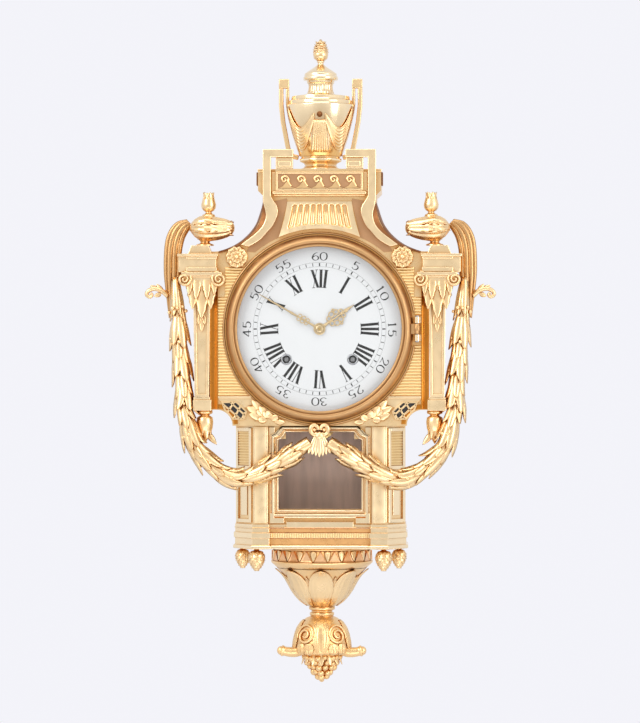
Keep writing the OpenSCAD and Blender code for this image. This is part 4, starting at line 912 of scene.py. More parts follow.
def urn():
    """The vase, its lid and cone, its square handles and the cloth cast on it."""
    body, lid, cone, handles = Shape(), Shape(), Shape(), Shape()
    lathe(body, crisp(URN_PROFILE), (0, SLAB_TOP, URN_OUT), 96)
    body.object("urn_vase", BURNISHED, "urn_body")
    lathe(lid, crisp(LID_PROFILE), (0, SLAB_TOP, URN_OUT), 144, flute=gadroon)
    lid.object("urn_cover", BURNISHED, "urn_lid")
    _, _, y0, y1, _, _ = span("urn_cone")
    pine_cone(cone, (0, y0 + 3.6, URN_OUT), 9.8, y1 - y0 + 2)
    cone.object("urn_pine_cone", GILT, "urn_cone", thick=0.6)
    depth = (URN_OUT - HANDLE_HALF, URN_OUT + HANDLE_HALF)
    prism(handles, strip(HANDLE_LINE, 2.9), *depth)
    for sides in HANDLE_BLOCKS:
        block(handles, *sides, *depth)
    handles.mirrored().object("urn_handle_loops", GILT, "urn_handles", bevel=0.9)
    urn_cloth()


def pine_cone(shape, foot, radius, height):
    """Overlapping scales round a pointed core; foot is where the cone's broad end sits."""
    x, y, out = foot
    lathe(shape, [(r * radius, h * height) for r, h in PINE_CORE], foot, 20)
    for i in range(7):
        t = 0.02 + 0.84 * i / 7
        count = 9 if i < 4 else 7
        wide = radius * (0.66 + 0.4 * t / 0.28 if t < 0.28 else 1.06 - 1.16 * (t - 0.28) ** 1.4)
        leaf_ring(shape, (x, out), angles(count, math.pi * (i % 2) / count), (wide * 0.84, y + t * height),
                  (wide * 0.96, y + (t + 0.17) * height), 6.6 * wide / count, curl=0.1, rows=5, fold=-0.25)


def urn_cloth():
    """Two crescent swags of cloth and a pleated tail, cast on the front of the vase."""
    def swag(hand, t, f):
        start, end = 81 - 4 * f, 70 - 9 * f
        sag = (23 + 22 * f) * math.sin(math.pi * t ** 0.86) ** 1.2
        height = start + (end - start) * t - sag
        x = 41.4 - 34.5 * t - 2.2 * f * math.sin(math.pi * t)
        crease = 0.45 + 0.45 * math.cos(FULL_TURN * CLOTH_FOLDS * f)
        crease *= math.sin(math.pi * min(1, t * 1.3 + 0.08))
        widest = radius_at(URN_PROFILE, height) + 0.3
        return on_urn(hand * min(x, widest), height, 1.0 + crease + 1.6 * f * (1 - f))

    def tail(t, f):
        s = 2 * f - 1
        hem = 1.5 * abs(math.sin(4.5 * math.pi * s)) * t
        pleat = 0.55 + 0.55 * math.cos(7 * math.pi * s)
        return on_urn((7.5 + 3.6 * t) * s, 62 - 38.5 * t - hem, 1.2 + pleat * (0.4 + 0.6 * t))

    cloth, boss = Shape(), Shape()
    for hand in (-1, 1):
        cloth.add_grid(sheet(24, 4 * CLOTH_FOLDS, lambda t, f: swag(hand, t, f)))
    cloth.add_grid(sheet(12, 40, tail))
    cloth.object("urn_cloth", GILT, "urn_swag", thick=0.9)
    boss.add_grid([[on_urn(r * math.cos(a), BOSS_HEIGHT + r * math.sin(a), proud) for a in angles(24)]
                   for r, proud in BOSS], close_columns=True)
    # painted shade: the boss takes the dark brown gilt
    boss.object("urn_boss", HOLLOW_SHADE_GILT)


KEY_OUTER = [(70.6, 166), (69.6, 156), (67.2, 147), (66.9, 139.5), (70.1, 130), (77.3, 121.3), (88.4, 112.5),
             (98.1, 105.3)]
KEY_INNER = [(60.6, 166), (57.2, 160), (53.6, 154.5), (51.9, 147.5), (53.4, 139.5), (58.1, 129.3),
             (64.5, 122), (74.1, 111.6), (88.4, 102.9)]
KEY_HOOK = [(70.6, 224.4), (32.6, 224.4), (32.6, 214.5), (60.6, 214.5)]
KEY_BLOCKS = ((54.6, 33.4, 200.3, 214.4, -8, -3.4), (51.2, 35.6, 203, 209.6, 0, -2.4))
COVE_EDGE = [(70.4, 158), (67.8, 150), (66.6, 143), (68.8, 132), (76, 122), (86.5, 113.5), (97, 106),
             (110, 99.6), (126, 95)]
COVE_RIM = [(71.6, 158), (74.2, 150), (76.4, 143), (80.6, 132), (88, 121.5), (98, 112), (108, 105.4),
            (118, 101), (127, 98)]
COVE_DIP = [(0.0, 3.2), (0.3, 1.7), (0.56, 0.7), (0.76, -3.0), (0.9, -9.0), (1.0, -18.0), (1.0, -24.0),
            (0.0, -24.0)]
COVE_BLOCKS = ((64, 79.2, 180.0, 196.2, -26, -5), (64, 75.2, 172.6, 180.0, -26, -5),
               (64, 77.4, 182, 194.4, -7, -3.6))
ARCH_R = 125.4
FLUTE_TOP = (40.3, 159.4)
FLUTE_FOOT_X = 50.9
FLUTE_SPREAD = 5.35
FLUTE_HALF = 0.36
FLUTE_HEAD = 0.16
FLUTE_FOOT = 0.78
FLUTE_ROUND = 0.06
FLUTE_DEEP = 2.6
FLUTE_LIP = 0.6
FLUTE_PROUD = 1.6
FLUTE_SWELL = 4.4


def key_bands():
    """Flat straps that hook over the slab beside the urn and sweep out to the rosettes."""
    back, front = span("key_band_right")[4:]
    outline = KEY_HOOK + smooth_line(KEY_INNER, 36) + smooth_line(KEY_OUTER, 36)[::-1]
    for hand, name in SIDES:
        band = Shape()
        prism(band, handed(hand, outline), back, front - 0.4)
        for x0, x1, y0, y1, behind, proud in KEY_BLOCKS:
            block(band, hand * x0, hand * x1, y0, y1, back + behind, front + proud)
        band.object("key_band_strap_" + name, PALE_GILT, "key_band_" + name, bevel=0.7, smooth=False)


def coves():
    """The hollows outside the straps, down to the pilasters, darkened with painted shade, and the tan fields
    inside them.
    """
    hollow, field = Shape(), Shape()
    hollow.add_rod([[spot(*between(a, b, f), CASE_FRONT + dip) for f, dip in COVE_DIP]
                    for a, b in zip(smooth_line(COVE_EDGE, 40), smooth_line(COVE_RIM, 40))])
    for x0, x1, y0, y1, back, front in COVE_BLOCKS:
        block(hollow, x0, x1, y0, y1, CASE_FRONT + back, CASE_FRONT + front)
    hollow.mirrored().object("shoulder_coves", HOLLOW_SHADE_GILT, bevel=0.3)
    arc = [(ARCH_R * math.sin(a), ARCH_R * math.cos(a)) for a in map(math.radians, range(40, 23, -2))]
    outer_side = smooth_line(KEY_INNER[1:], 30) + [(91, 97)]
    inner_side = [(FLUTE_FOOT_X, 114.6), FLUTE_TOP, (41, 163)]
    prism(field, outer_side + arc + inner_side, CASE_FRONT - 0.5, CASE_FRONT + 0.6)
    field.mirrored().object("shoulder_fields", TAN_GILT, smooth=False)


WAVE = [(-9.6, 176), (9.6, 176), (5.2, 177.6), (2.8, 181), (1.6, 186), (-1.2, 183), (-4.6, 178.4)]
WAVE_PITCH = 20.4
WAVE_EYE = (-2.8, 186.6)
WAVE_CURL = 5.2
FRIEZE_LOW = 174
FRIEZE_HIGH = 195
FRIEZE_SIDE = 53
FRIEZE_RIM = 1.2


def frieze():
    """A row of breaking waves in a bordered panel under the slab, and the moulding below it."""
    front = span("frieze_block")[5]
    border, lip, ground, waves = Shape(), Shape(), Shape(), Shape()
    for y in (FRIEZE_LOW, FRIEZE_HIGH):
        prism(border, strip([(-FRIEZE_SIDE - 1, y), (FRIEZE_SIDE + 1, y)], 1.3), front - 1, front + 1.5)
    for x in (-FRIEZE_SIDE, FRIEZE_SIDE):
        prism(border, strip([(x, FRIEZE_LOW), (x, FRIEZE_HIGH)], FRIEZE_RIM), front - 1, front + 1.3)
    middle_block(border, 60, FRIEZE_LOW - 2, FRIEZE_HIGH + FRIEZE_RIM, CASE_FRONT, front - 1.4)
    middle_block(border, 77.6, 196.4, 199.9, CASE_FRONT - 4, CASE_FRONT + 0.8)
    border.object("frieze_border", GILT, bevel=0.5, smooth=False)
    middle_block(lip, 58.6, 168.4, 171.8, CASE_FRONT, front + 1.6)
    middle_block(lip, 57, 166.4, 168.4, CASE_FRONT, front - 1.6)
    lip.object("frieze_lip", GILT, bevel=0.8, smooth=False)
    middle_block(ground, FRIEZE_SIDE - FRIEZE_RIM, FRIEZE_LOW + FRIEZE_RIM, FRIEZE_HIGH - FRIEZE_RIM,
                 front - 0.4, front + 0.25)
    ground.object("frieze_ground", TAN_GILT, bevel=0.1, smooth=False)
    for k in range(-2, 3):
        cx = WAVE_PITCH * k
        prism(waves, [(cx + x, y) for x, y in WAVE], front - 0.2, front + 1.5)
        curl = [spot(cx + 5, 178, front + 0.4)]
        for j in range(20):
            a = math.radians(-30 + 25 * j)
            r = WAVE_CURL * (1 - j / 22)
            curl.append(spot(cx + WAVE_EYE[0] + r * math.cos(a), WAVE_EYE[1] + r * math.sin(a), front + 0.6))
        tube(waves, curl, lambda t: 1.7 - 0.8 * t, steps=60, sides=8)
    waves.object("frieze_waves", CLOTH_GILT, bevel=0.3)


def flutes():
    """A cavetto of nine flutes with round ends between the key bands, over the arch of the bezel."""
    def panel_point(v, across):
        u = 2 * across - 1
        top_x, top_y = FLUTE_TOP[0] * u, FLUTE_TOP[1]
        low_x = FLUTE_FOOT_X * u
        low_y = math.sqrt(ARCH_R ** 2 - low_x ** 2)
        slot = u * FLUTE_SPREAD
        off = abs(slot - max(-4, min(4, round(slot)))) / FLUTE_HALF
        gone = math.hypot(off, max(0.0, FLUTE_HEAD - v, v - FLUTE_FOOT) / FLUTE_ROUND)
        dip = FLUTE_DEEP * math.sqrt(max(0.0, 1 - gone * gone))
        rim = FLUTE_LIP * math.exp(-((gone - 1.12) / 0.14) ** 2)
        x = top_x + (low_x - top_x) * (v - 0.12 * math.sin(math.pi * v))
        out = CASE_FRONT + FLUTE_PROUD + FLUTE_SWELL * v ** 1.8 - dip + rim
        return spot(x, top_y + (low_y - top_y) * v, out)

    grid = sheet(44, 270, panel_point)
    panel = Shape()
    panel.add_grid(grid)
    edge = [row[0] for row in grid] + grid[-1][1:] + [row[-1] for row in grid[::-1]][1:] + grid[0][::-1][1:-1]
    panel.add_grid([[p, Vector((p.x, -CASE_FRONT * MM, p.z))] for p in edge], close_rows=True)
    panel.object("flute_panel", PALE_GILT, "fluted_panel")


# Lower case, base and terminal
DRAW_FROM = -300.0
DRAW = 1.072
WALL_GAP = 1.0
CANT_FRONT = (84.0, 87.0)
CANT_BACK = (107.0, 58.0)
CANT_LONG = math.dist(CANT_FRONT, CANT_BACK)
CANT_EDGES = (0.06, 0.18, 0.82, 0.94)
CANT_PANELS = ((-176, -124), (-243, -180))
CANT_BORDER = 4.4
CANT_PROUD = 1.7
DADO = ((-194, -190.4, 2.4), (-190.4, -187.6, 3.4))
CANT_RIB = ((-1.5, 0.1), (-1.2, 0.8), (0, 1.35), (1.2, 0.8), (1.5, 0.1))
CANT_RIBS = 13
CANT_RIB_LOW = -170.0
CANT_RIB_PITCH = 3.4
STRIP_X = (67.0, 82.2)
STRIP_LEVELS = (-243.5, -243.4, -122.6, -122.5)
SASH_BACK = 80.1
EAR_FRONT = 86.4
WINDOW_INNER = [(52, -227), (52, -139), (48, -137.4), (45, -134), (42.4, -129.4)]
WINDOW_OUTER = [(62.6, -237.2), (62.6, -133.4), (57, -130.6), (53, -126), (48.4, -121.6)]
WINDOW_EAR = [(62.6, -243.6), (62.6, -231), (57.4, -231), (57.4, -237), (45, -237), (45, -243.6)]
WINDOW_STEPS = [(0.0, SASH_BACK), (0.0, 82.6), (0.08, 83.4), (0.2, 83.4), (0.26, 82.2), (0.4, 82.2),
                (0.46, 84.6), (0.56, 85.6), (0.8, 85.6), (0.86, 84.4), (1.0, 84.0), (1.0, SASH_BACK)]
BASE_LEVELS = [(-245, 0.0), (-248.6, 0.0), (-249.2, 1.0), (-250, 1.0), (-250.4, 0.0), (-255.4, 0.0),
               (-255.9, 1.7), (-262.4, 1.7), (-262.9, 0.2), (-271, 0.2), (-271.6, 1.8), (-273, 2.6),
               (-275.4, 2.6), (-276.4, 1.0)]
REED = ((-1.45, 0), (-1.2, 0.45), (0, 0.7), (1.2, 0.45), (1.45, 0))
REEDS = 42
REED_PITCH = 3.0
REED_LEVELS = (-261.8, -256.5)
REED_FACE = 84.5
FASCIAS = ((-255.2, -250.6), (-270.8, -263.1))
APRON_PROFILE = [(63, -276.5), (66, -277.6), (66, -279.6), (62.8, -280.6), (62.8, -294.4), (65.4, -295.2),
                 (64.8, -297.6), (61, -301), (57.8, -304)]
BOWL_PROFILE = [(57.6, -304.1), (54, -307.5), (49.4, -312), (45.2, -317.5), (41.6, -323.5), (37.6, -330.5),
                (32, -338), (25.6, -344.6), (17.6, -349.9)]
TERMINAL_PROFILE = [(15.6, -350), (16.6, -351.4), (16.6, -354), (13.4, -355.4), (13.2, -356.8), (15.6, -358),
                    (15.6, -360.6), (14.4, -362), (20, -364), (26, -368.6), (30.4, -375), (33.4, -383),
                    (35.6, -392), (36.6, -400), (35.8, -405), (25, -408.4)]
TERMINAL_ARM = [(27, -402), (33, -404), (39, -404.4), (44, -404), (48, -403.2), (51.6, -402.6)]
BUNCH_CORE = [(23, -407), (21.5, -412), (16, -421), (9.5, -430), (3, -437)]
BERRY_ROWS = ((22.5, -410.5, 8), (19.4, -416.5, 7), (15.4, -422.5, 6), (10.8, -428.4, 5), (6, -433.6, 3),
              (0.8, -437.4, 1))
TONGUES = 11
TONGUE_STEP = 180.0 / TONGUES
TONGUE_LOW = -294.2
TONGUE_HIGH = -281.6
ARM_OUT = 12
VOLUTE_Y = -383
VOLUTE_R = 13.0
VOLUTE_TURNS = 1.9
VOLUTE_SPREAD = 1.9


def canted(s, y, proud):
    """A point of the right canted corner: s runs from its front edge to its back edge."""
    x, out = between(CANT_FRONT, CANT_BACK, s)
    dx, dout = CANT_BACK[0] - CANT_FRONT[0], CANT_BACK[1] - CANT_FRONT[1]
    return spot(x - dout / CANT_LONG * proud, y, out + dx / CANT_LONG * proud)


def canted_bar(shape, s0, s1, y0, y1, proud):
    points = [canted(s, y, p) for p in (0.05, proud) for s, y in ((s0, y0), (s1, y0), (s1, y1), (s0, y1))]
    shape.add(points, [(0, 1, 2, 3), (7, 6, 5, 4), (0, 4, 5, 1), (1, 5, 6, 2), (2, 6, 7, 3), (3, 7, 4, 0)])


def lower_panels():
    """Bordered panels on the canted corners, ribbed above and plain below, and the flat front strips."""
    trim, strips, ribs = Shape(), Shape(), Shape()
    front, front_in, back_in, back = CANT_EDGES
    for y0, y1 in CANT_PANELS:
        for s0, s1 in ((front, front_in), (back_in, back)):
            canted_bar(trim, s0, s1, y0, y1, CANT_PROUD)
        for low, high in ((y1 - CANT_BORDER, y1), (y0, y0 + CANT_BORDER)):
            canted_bar(trim, front_in, back_in, low, high, CANT_PROUD)
    canted_bar(trim, 0.32, 0.68, -234, -189, 0.9)
    x0, x1 = STRIP_X
    bulge = [(x0 + (x1 - x0) * k / 12, BOX_FRONT + 0.6 + 1.4 * (1 - (k / 6 - 1) ** 2)) for k in range(13)]
    section = [(x0, BOX_FRONT - 0.2)] + bulge + [(x1, BOX_FRONT - 0.2)]
    strips.add_rod([[spot(x, y, out) for x, out in section] for y in STRIP_LEVELS])
    strips.mirrored().object("lower_case_strips", PALE_GILT)
    block(trim, 65.6, 83.6, -242.5, -122.5, BOX_FRONT - 0.4, BOX_FRONT + 0.5)
    for low, high, proud in DADO:
        block(trim, 64.8, 84.4, low, high, BOX_FRONT - 0.2, BOX_FRONT + proud)
        canted_bar(trim, 0.02, 0.98, low, high, proud)
    block(trim, 57, 64.6, -244, -123, PANEL_FRONT - 0.3, PANEL_FRONT + 2.6)
    trim.mirrored().object("lower_case_panels", BURNISHED, bevel=0.45, smooth=False)
    canted_bar(ribs, 0.185, 0.815, -171.5, -128.5, 0.5)
    for k in range(CANT_RIBS):
        y = CANT_RIB_LOW + CANT_RIB_PITCH * k
        ribs.add_rod([[canted(s, y + h, p) for h, p in CANT_RIB] for s in (0.19, 0.195, 0.805, 0.81)])
    ribs.mirrored().object("lower_case_ribs", RIB_GILT)


def window_frame():
    """A stepped frame round the pendulum window, its upper corners cut, with eared lower corners."""
    inner, outer = (half + handed(-1, half[::-1]) for half in (WINDOW_INNER, WINDOW_OUTER))
    shape = Shape()
    shape.add_grid([[spot(*between(a, b, f), out) for a, b in zip(inner, outer)] for f, out in WINDOW_STEPS],
                   close_rows=True, close_columns=True)
    for hand in (1, -1):
        prism(shape, handed(hand, WINDOW_EAR), SASH_BACK, EAR_FRONT)
    middle_block(shape, 42, -249.2, -242, SASH_BACK, EAR_FRONT - 1)
    shape.object("window_moulding", BURNISHED, "window_frame", bevel=0.35, smooth=False)


def base_plan(grow):
    """The outline of the base seen from above, as (x, out), with its edges moved out by grow."""
    half = [(0, 83 + grow), (64 - grow, 83 + grow), (64 - grow, 88 + grow), (85 + 0.5 * grow, 88 + grow),
            (108 + grow, 59 + 0.5 * grow), (108 + grow, 0.1)]
    return half + handed(-1, half[:0:-1])


def base_moulding():
    """The stepped base, with copper fascias and a band of upright reeds between them."""
    shape, fascia, reeds = Shape(), Shape(), Shape()
    shape.add_rod([[spot(x, y, out) for x, out in base_plan(grow)] for y, grow in BASE_LEVELS])
    shape.object("base_mouldings", BURNISHED, "base_moulding", bevel=0.4, smooth=False)
    for low, high in FASCIAS:
        middle_block(fascia, 63, low, high, 82.6, 83.5)
    fascia.object("base_fascia", COPPER, bevel=0.2, smooth=False)
    for k in range(REEDS):
        x = REED_PITCH * (k - (REEDS - 1) / 2)
        reeds.add_rod([[spot(x + w, y, REED_FACE + d) for w, d in REED] for y in REED_LEVELS])
    reeds.object("base_reeds", RIB_GILT)


def half_turned(shape, profile, segments):
    """A half-round piece with its flat side at the wall."""
    lathe(shape, profile, (0, 0, 0.1), segments, 180.0)


def drawn_down(shape):
    """Draws a shape below the apron a little longer, and keeps it in front of the wall."""
    for point in shape.points:
        point.y = min(point.y, -WALL_GAP * MM)
        point.z = DRAW_FROM * MM + DRAW * (point.z - DRAW_FROM * MM)
    return shape


def skin_point(profile, angle, y, proud):
    """A point above the skin of a half-round piece; angle in degrees, 90 at the front."""
    r = radius_at(profile, y) + proud
    a = math.radians(angle)
    return spot(r * math.cos(a), y, max(0.2, r * math.sin(a)))


def skin_leaf(shape, profile, angle, y0, y1, half, lift, curl, blunt=3.0, rows=26):
    """A broad grooved leaf laid on a half-round piece, from its foot at y0 to its rolled tip at y1."""
    def leaf_point(t, across):
        s = 2 * across - 1
        wide = half * (0.55 + 0.45 * math.sin(math.pi / 2 * min(1.0, t / 0.5))) * (1 - t ** blunt) ** 0.6
        vein = -0.9 * math.exp(-(s / 0.09) ** 2) + 0.35 * math.cos(6 * math.pi * s)
        proud = lift * (1 - 0.6 * s * s) + vein * min(1.0, 3 * t) + curl * max(0.0, t - 0.8) ** 2 / 0.04
        return skin_point(profile, angle + wide * s, y0 + (y1 - y0) * t, proud)

    shape.add_grid(sheet(rows, 24, leaf_point))


def apron():
    """A half-round band of upright tongues with pointed leaves hanging between them."""
    band, tongues, leaves = Shape(), Shape(), Shape()
    half_turned(band, crisp(APRON_PROFILE), 88)
    band.object("apron_band", CLOTH_GILT, "base_apron")
    for k in range(TONGUES):
        middle = TONGUE_STEP * (k + 0.5)
        wide = TONGUE_STEP * 0.43
        corners = [(-wide, TONGUE_LOW), (wide, TONGUE_LOW), (0.8, TONGUE_HIGH), (-0.8, TONGUE_HIGH)]
        rim = [skin_point(APRON_PROFILE, middle + a, y, 1.9) for a, y in corners]
        foot = [skin_point(APRON_PROFILE, middle + a, y, -0.4) for a, y in corners]
        heart_y = TONGUE_HIGH - 1
        sunk = [skin_point(APRON_PROFILE, middle + 0.72 * a, heart_y + 0.84 * (y - heart_y), 1.0)
                for a, y in corners]
        tongues.add(rim + sunk, [(0, 1, 5, 4), (1, 2, 6, 5), (2, 3, 7, 6), (3, 0, 4, 7), (4, 5, 6, 7)])
        tongues.add(rim + foot, [(0, 4, 5, 1), (1, 5, 6, 2), (2, 6, 7, 3), (3, 7, 4, 0)])
    ends = [(radius_at(APRON_PROFILE, y) + 1.2, y) for y in (-280.4, -293.6)]
    leaf_ring(leaves, (0, 0), [math.radians(TONGUE_STEP * k) for k in range(1, TONGUES)], *ends, 9.5,
              curl=0.03, rows=8, belly=0.05)
    tongues.object("apron_tongues", ROSE_GILT, smooth=False)
    leaves.object("apron_leaves", GILT, thick=0.8)


def bowl():
    """The bowl: a smooth cup wrapped in broad water leaves, with darts between their tips."""
    cup, leaves = Shape(), Shape()
    half_turned(cup, crisp(BOWL_PROFILE), 72)
    drawn_down(cup).object("bowl_cup", CLOTH_GILT, "base_bowl")
    for angle in (22.5, 67.5, 112.5, 157.5):
        skin_leaf(leaves, BOWL_PROFILE, angle, -340, -313, 7, 0.9, 0.6, blunt=1.6)
    for angle in (0, 45, 90, 135, 180):
        skin_leaf(leaves, BOWL_PROFILE, angle, -349.6, -305.4, 25, 2.4, 1.2)
    drawn_down(leaves).object("bowl_leaves", GILT, thick=0.9)


def terminal():
    """Collar rings and a domed pendant with volutes, a middle leaf and two stub arms."""
    bulb, scrolls = Shape(), Shape()
    half_turned(bulb, crisp(TERMINAL_PROFILE), 64)
    for hand in (1, -1):
        tube(bulb, [spot(x, y, ARM_OUT) for x, y in handed(hand, TERMINAL_ARM)],
             lambda t: 6.6 - 1.4 * t + 1.4 * math.exp(-((t - 0.92) / 0.1) ** 2), sides=18)
        ball(bulb, spot(hand * 51.8, -402.6, ARM_OUT), 5.4, 18, 10)
    drawn_down(bulb).object("terminal_bulb", CLOTH_GILT, "terminal_scroll")
    for centre, turn in ((53, 1), (127, -1)):
        points = []
        for k in range(61):
            t = k / 60
            a = math.radians(200) - FULL_TURN * VOLUTE_TURNS * t
            r = VOLUTE_R * (1 - 0.84 * t)
            points.append(skin_point(TERMINAL_PROFILE, centre + turn * r * VOLUTE_SPREAD * math.cos(a),
                                     VOLUTE_Y + r * math.sin(a), 0.6 + 1.6 * t))
        tube(scrolls, points, lambda t: 1.5 - 0.4 * t, steps=90, sides=10)
    for angle, foot, half in ((90, -363.4, 20), (16, -366, 16), (164, -366, 16)):
        skin_leaf(scrolls, TERMINAL_PROFILE, angle, foot, -407.4, half, 2.0, 2.0)
    for angle in (44, 64, 116, 136):
        skin_leaf(scrolls, TERMINAL_PROFILE, angle, -393, -407.8, 12, 1.8, 2.2, rows=14)
    drawn_down(scrolls).object("terminal_foliage", CLOTH_GILT, thick=0.9)


def berries():
    """A hanging bunch of berries with a few leaves at its top, tapering to one berry."""
    rng = random.Random(5)
    bunch, leaves = Shape(), Shape()
    half_turned(bunch, BUNCH_CORE, 40)
    for radius, y, count in BERRY_ROWS:
        for k in range(count):
            a = math.pi * (k + 0.5 + rng.uniform(-0.18, 0.18)) / count
            at = spot(radius * math.cos(a), y + rng.uniform(-1, 1), 0.3 + radius * math.sin(a))
            ball(bunch, at, rng.uniform(3.9, 4.9) if count > 1 else 3.4, 16, 10)
    drawn_down(bunch).object("berry_bunch", CLOTH_GILT, "berry_cluster")
    leaf_ring(leaves, (0, 0), [math.pi * (k + 0.5) / 7 for k in range(7)], (25, -405.5), (24.5, -419.5), 9.5,
              curl=0.16, lobes=3, rows=14, fold=-0.35)
    drawn_down(leaves).object("berry_leaves", GILT, thick=0.8)


CONE_TOP = -279.0
CONE_PLACES = ((80, 76, 10.6, 28), (99, 48, 9.4, 26))
CONE_COLLAR = [(3, -276.2), (3, -278.4), (5, CONE_TOP)]


def heart(radius, f):
    """The radius of a hanging cone at a fraction f of its height, broad above and pointed below."""
    return 0.95 * radius * math.sin(math.pi * f ** 0.72) ** 0.75


def corner_cones():
    """Pine cones that hang from the base: an egg under a small collar, covered in pointed scales."""
    shape = Shape()
    for hand in (1, -1):
        for x, out, radius, tall in CONE_PLACES:
            egg = [(heart(radius, f), CONE_TOP - tall * (f - 0.08))
                   for f in (0.1, 0.2, 0.3, 0.42, 0.55, 0.68, 0.8, 0.9, 0.97)]
            lathe(shape, CONE_COLLAR + egg, (hand * x, 0, out), 24)
            for i in range(7):
                f = 0.1 + 0.115 * i
                foot_r = heart(radius, f + 0.03)
                tip_r = heart(radius, min(0.97, f + 0.17)) + 0.9
                leaf_ring(shape, (hand * x, out), angles(9, math.pi * (i % 2) / 9),
                          (foot_r, CONE_TOP - tall * (f - 0.08)), (tip_r, CONE_TOP - tall * (f + 0.11)),
                          6.8 * foot_r / 9, curl=0.05, rows=6, fold=-0.2)
    shape.object("corner_pine_cones", GILT, "corner_drops", thick=0.6)


# Leaves of a spray as (foot x, foot y, tip x, tip y, width)
SPRAY = [(56, -116, 43, -116.5, 9), (60, -114, 52, -108.5, 11), (61, -112, 66, -102, 13),
         (63, -111, 76, -96.5, 14), (66, -110, 85, -88.5, 14), (68, -111, 91, -97, 14),
         (69, -113, 88, -106, 13), (66, -114, 77, -113, 11), (64, -111, 71, -103, 10),
         (70, -108, 79, -102, 10)]
FRET_FIELD = [(95, -112), (92, -103), (104, -92), (121, -92.5), (118, -100), (108, -111.5)]
FRET_LINES = [[(93.4, -104), (97, -112.5)], [(99, -97), (107, -112)], [(107, -91.8), (115, -104)],
              [(93, -108), (112, -91.5)], [(99, -112.4), (120.4, -94.4)],
              [(95, -112.6), (91.4, -103), (104, -91.4), (121.8, -91.6), (118.6, -100.6), (108.2, -112.2),
               (95, -112.6)]]


def leaf_sprays():
    """Acanthus sprays on the case below the bezel, and the pierced frets beside them over a black plate of
    painted shadow.
    """
    spray, dark, bars = Shape(), Shape(), Shape()
    for k, (x0, y0, x1, y1, wide) in enumerate(SPRAY):
        leaf(spray, spot(x0, y0, CASE_FRONT + 1), spot(x1, y1, CASE_FRONT + 2.2 + 0.5 * (k % 2)), wide,
             curl=0.1, lobes=4, rows=14, fold=-0.28, belly=0.7)
    spray.mirrored().object("hip_acanthus", GILT, thick=0.9)
    # painted shadow: a black plate behind the fret bars stands in for the dark seen through the piercings
    prism(dark, FRET_FIELD, CASE_FRONT, CASE_FRONT + 0.5)
    dark.mirrored().object("fret_shadow", PAINT_AND_SHADOW_BLACK, smooth=False)
    for line in FRET_LINES:
        prism(bars, strip(line, 1.1), CASE_FRONT + 0.2, CASE_FRONT + 2)
    bars.mirrored().object("fret_bars", GILT, bevel=0.3, smooth=False)


# Bezel, ribs, rosettes, pilasters, lamps and hanging cloth
RING_OUT = 121.4
RING_PROFILE = [(118.8, 100.1), (118.8, 102), (119.4, 103), (120.4, 103), (RING_OUT, 102), (RING_OUT, 100.1)]
BEZEL_PROFILE = [(105.95, 100.4), (116.4, 100.4), (117, 101), (117, 103.4), (116, 106), (113.6, 109.6),
                 (110.8, 112), (108.6, 112.7), (107.3, 112.2), (106.7, 110.9), (106.1, 110.9), (105.5, 112.5),
                 (104, 112.7), (102.7, 111.8), (102.6, 110.9), (105.95, 110.9)]
KNUCKLE = [(1.6, -6.6), (3.2, -6.6), (4, -6), (4, 6), (3.2, 6.6), (1.6, 6.6)]
HINGE = (122.0, 107.0)
WINDING_HOLE = (41.5, -38)
COLLAR = [(5.05, 100.9), (5.05, 101.5), (5.7, 101.9), (6.6, 101.7), (7, 101.05)]
HOLE_SHADOW = [(3.3, 98.9), (4.9, 98.9), (4.9, 99.2), (3.3, 99.2)]
HINGE_LEAF = (114.5, 119.2, -6.2, 6.2, 104.6, 109.4)
ROSETTE = (103.5, 90.0)
ROSETTE_DISC = [(0.4, 100.3), (12.6, 100.3), (13.2, 101.2), (12.4, 102.4), (0.4, 103)]
PETAL_RINGS = ((11, 3.0, 13.6, 8.2, 104.2), (8, 1.6, 8.0, 6.4, 106.4))
RIBS = 43
RIB_LOW = -82.0
RIB_PITCH = 3.75
RIB_X = 127.0
RIB = ((-1.86, 0.1), (-1.6, 0.6), (-0.9, 1.3), (0, 1.6), (0.9, 1.3), (1.6, 0.6), (1.86, 0.1))
RIB_FOOT = [(84.6, -83.8), (127, -83.8), (127, -88), (122.4, -91.4), (104, -91.4), (95, -99), (80, -93)]
SIDE_COVE = ((127.2, 0.05), (127.2, 2.4), (128.4, 2.4), (129.6, 1.2), (132, 0.5), (135, 0.4), (137, 1.2),
             (137, 0.05))
COVE_CENTRE = (126.8, -118.9)
COVE_TURN = ((19.2, 0.1), (19.2, 1.5), (21.5, 0.7), (24.6, 0.9), (24.6, 0.1))


def bezel():
    """The door's ring: a broad rounded band with two fine rings inside it, and its hinge knuckle."""
    shape = Shape()
    solid_ring(shape, BEZEL_PROFILE, (0, 0))
    lathe(shape, KNUCKLE + KNUCKLE[:1], (HINGE[0], 0, HINGE[1]), 28, caps=False)
    block(shape, *HINGE_LEAF)
    shape.object("bezel_ring", BEZEL_GILT, "bezel", "bezel_door")


def winding_holes():
    """Steel collars round the winding holes, and a thin black ring of painted shadow round each square."""
    collars, dark = Shape(), Shape()
    solid_ring(collars, COLLAR, WINDING_HOLE, 40)
    collars.mirrored().object("winding_collars", STEEL, slot="steel")
    # painted shadow: a thin black ring just inside each collar
    solid_ring(dark, HOLE_SHADOW, WINDING_HOLE, 32)
    dark.mirrored().object("winding_shadow_rings", PAINT_AND_SHADOW_BLACK, slot="steel")


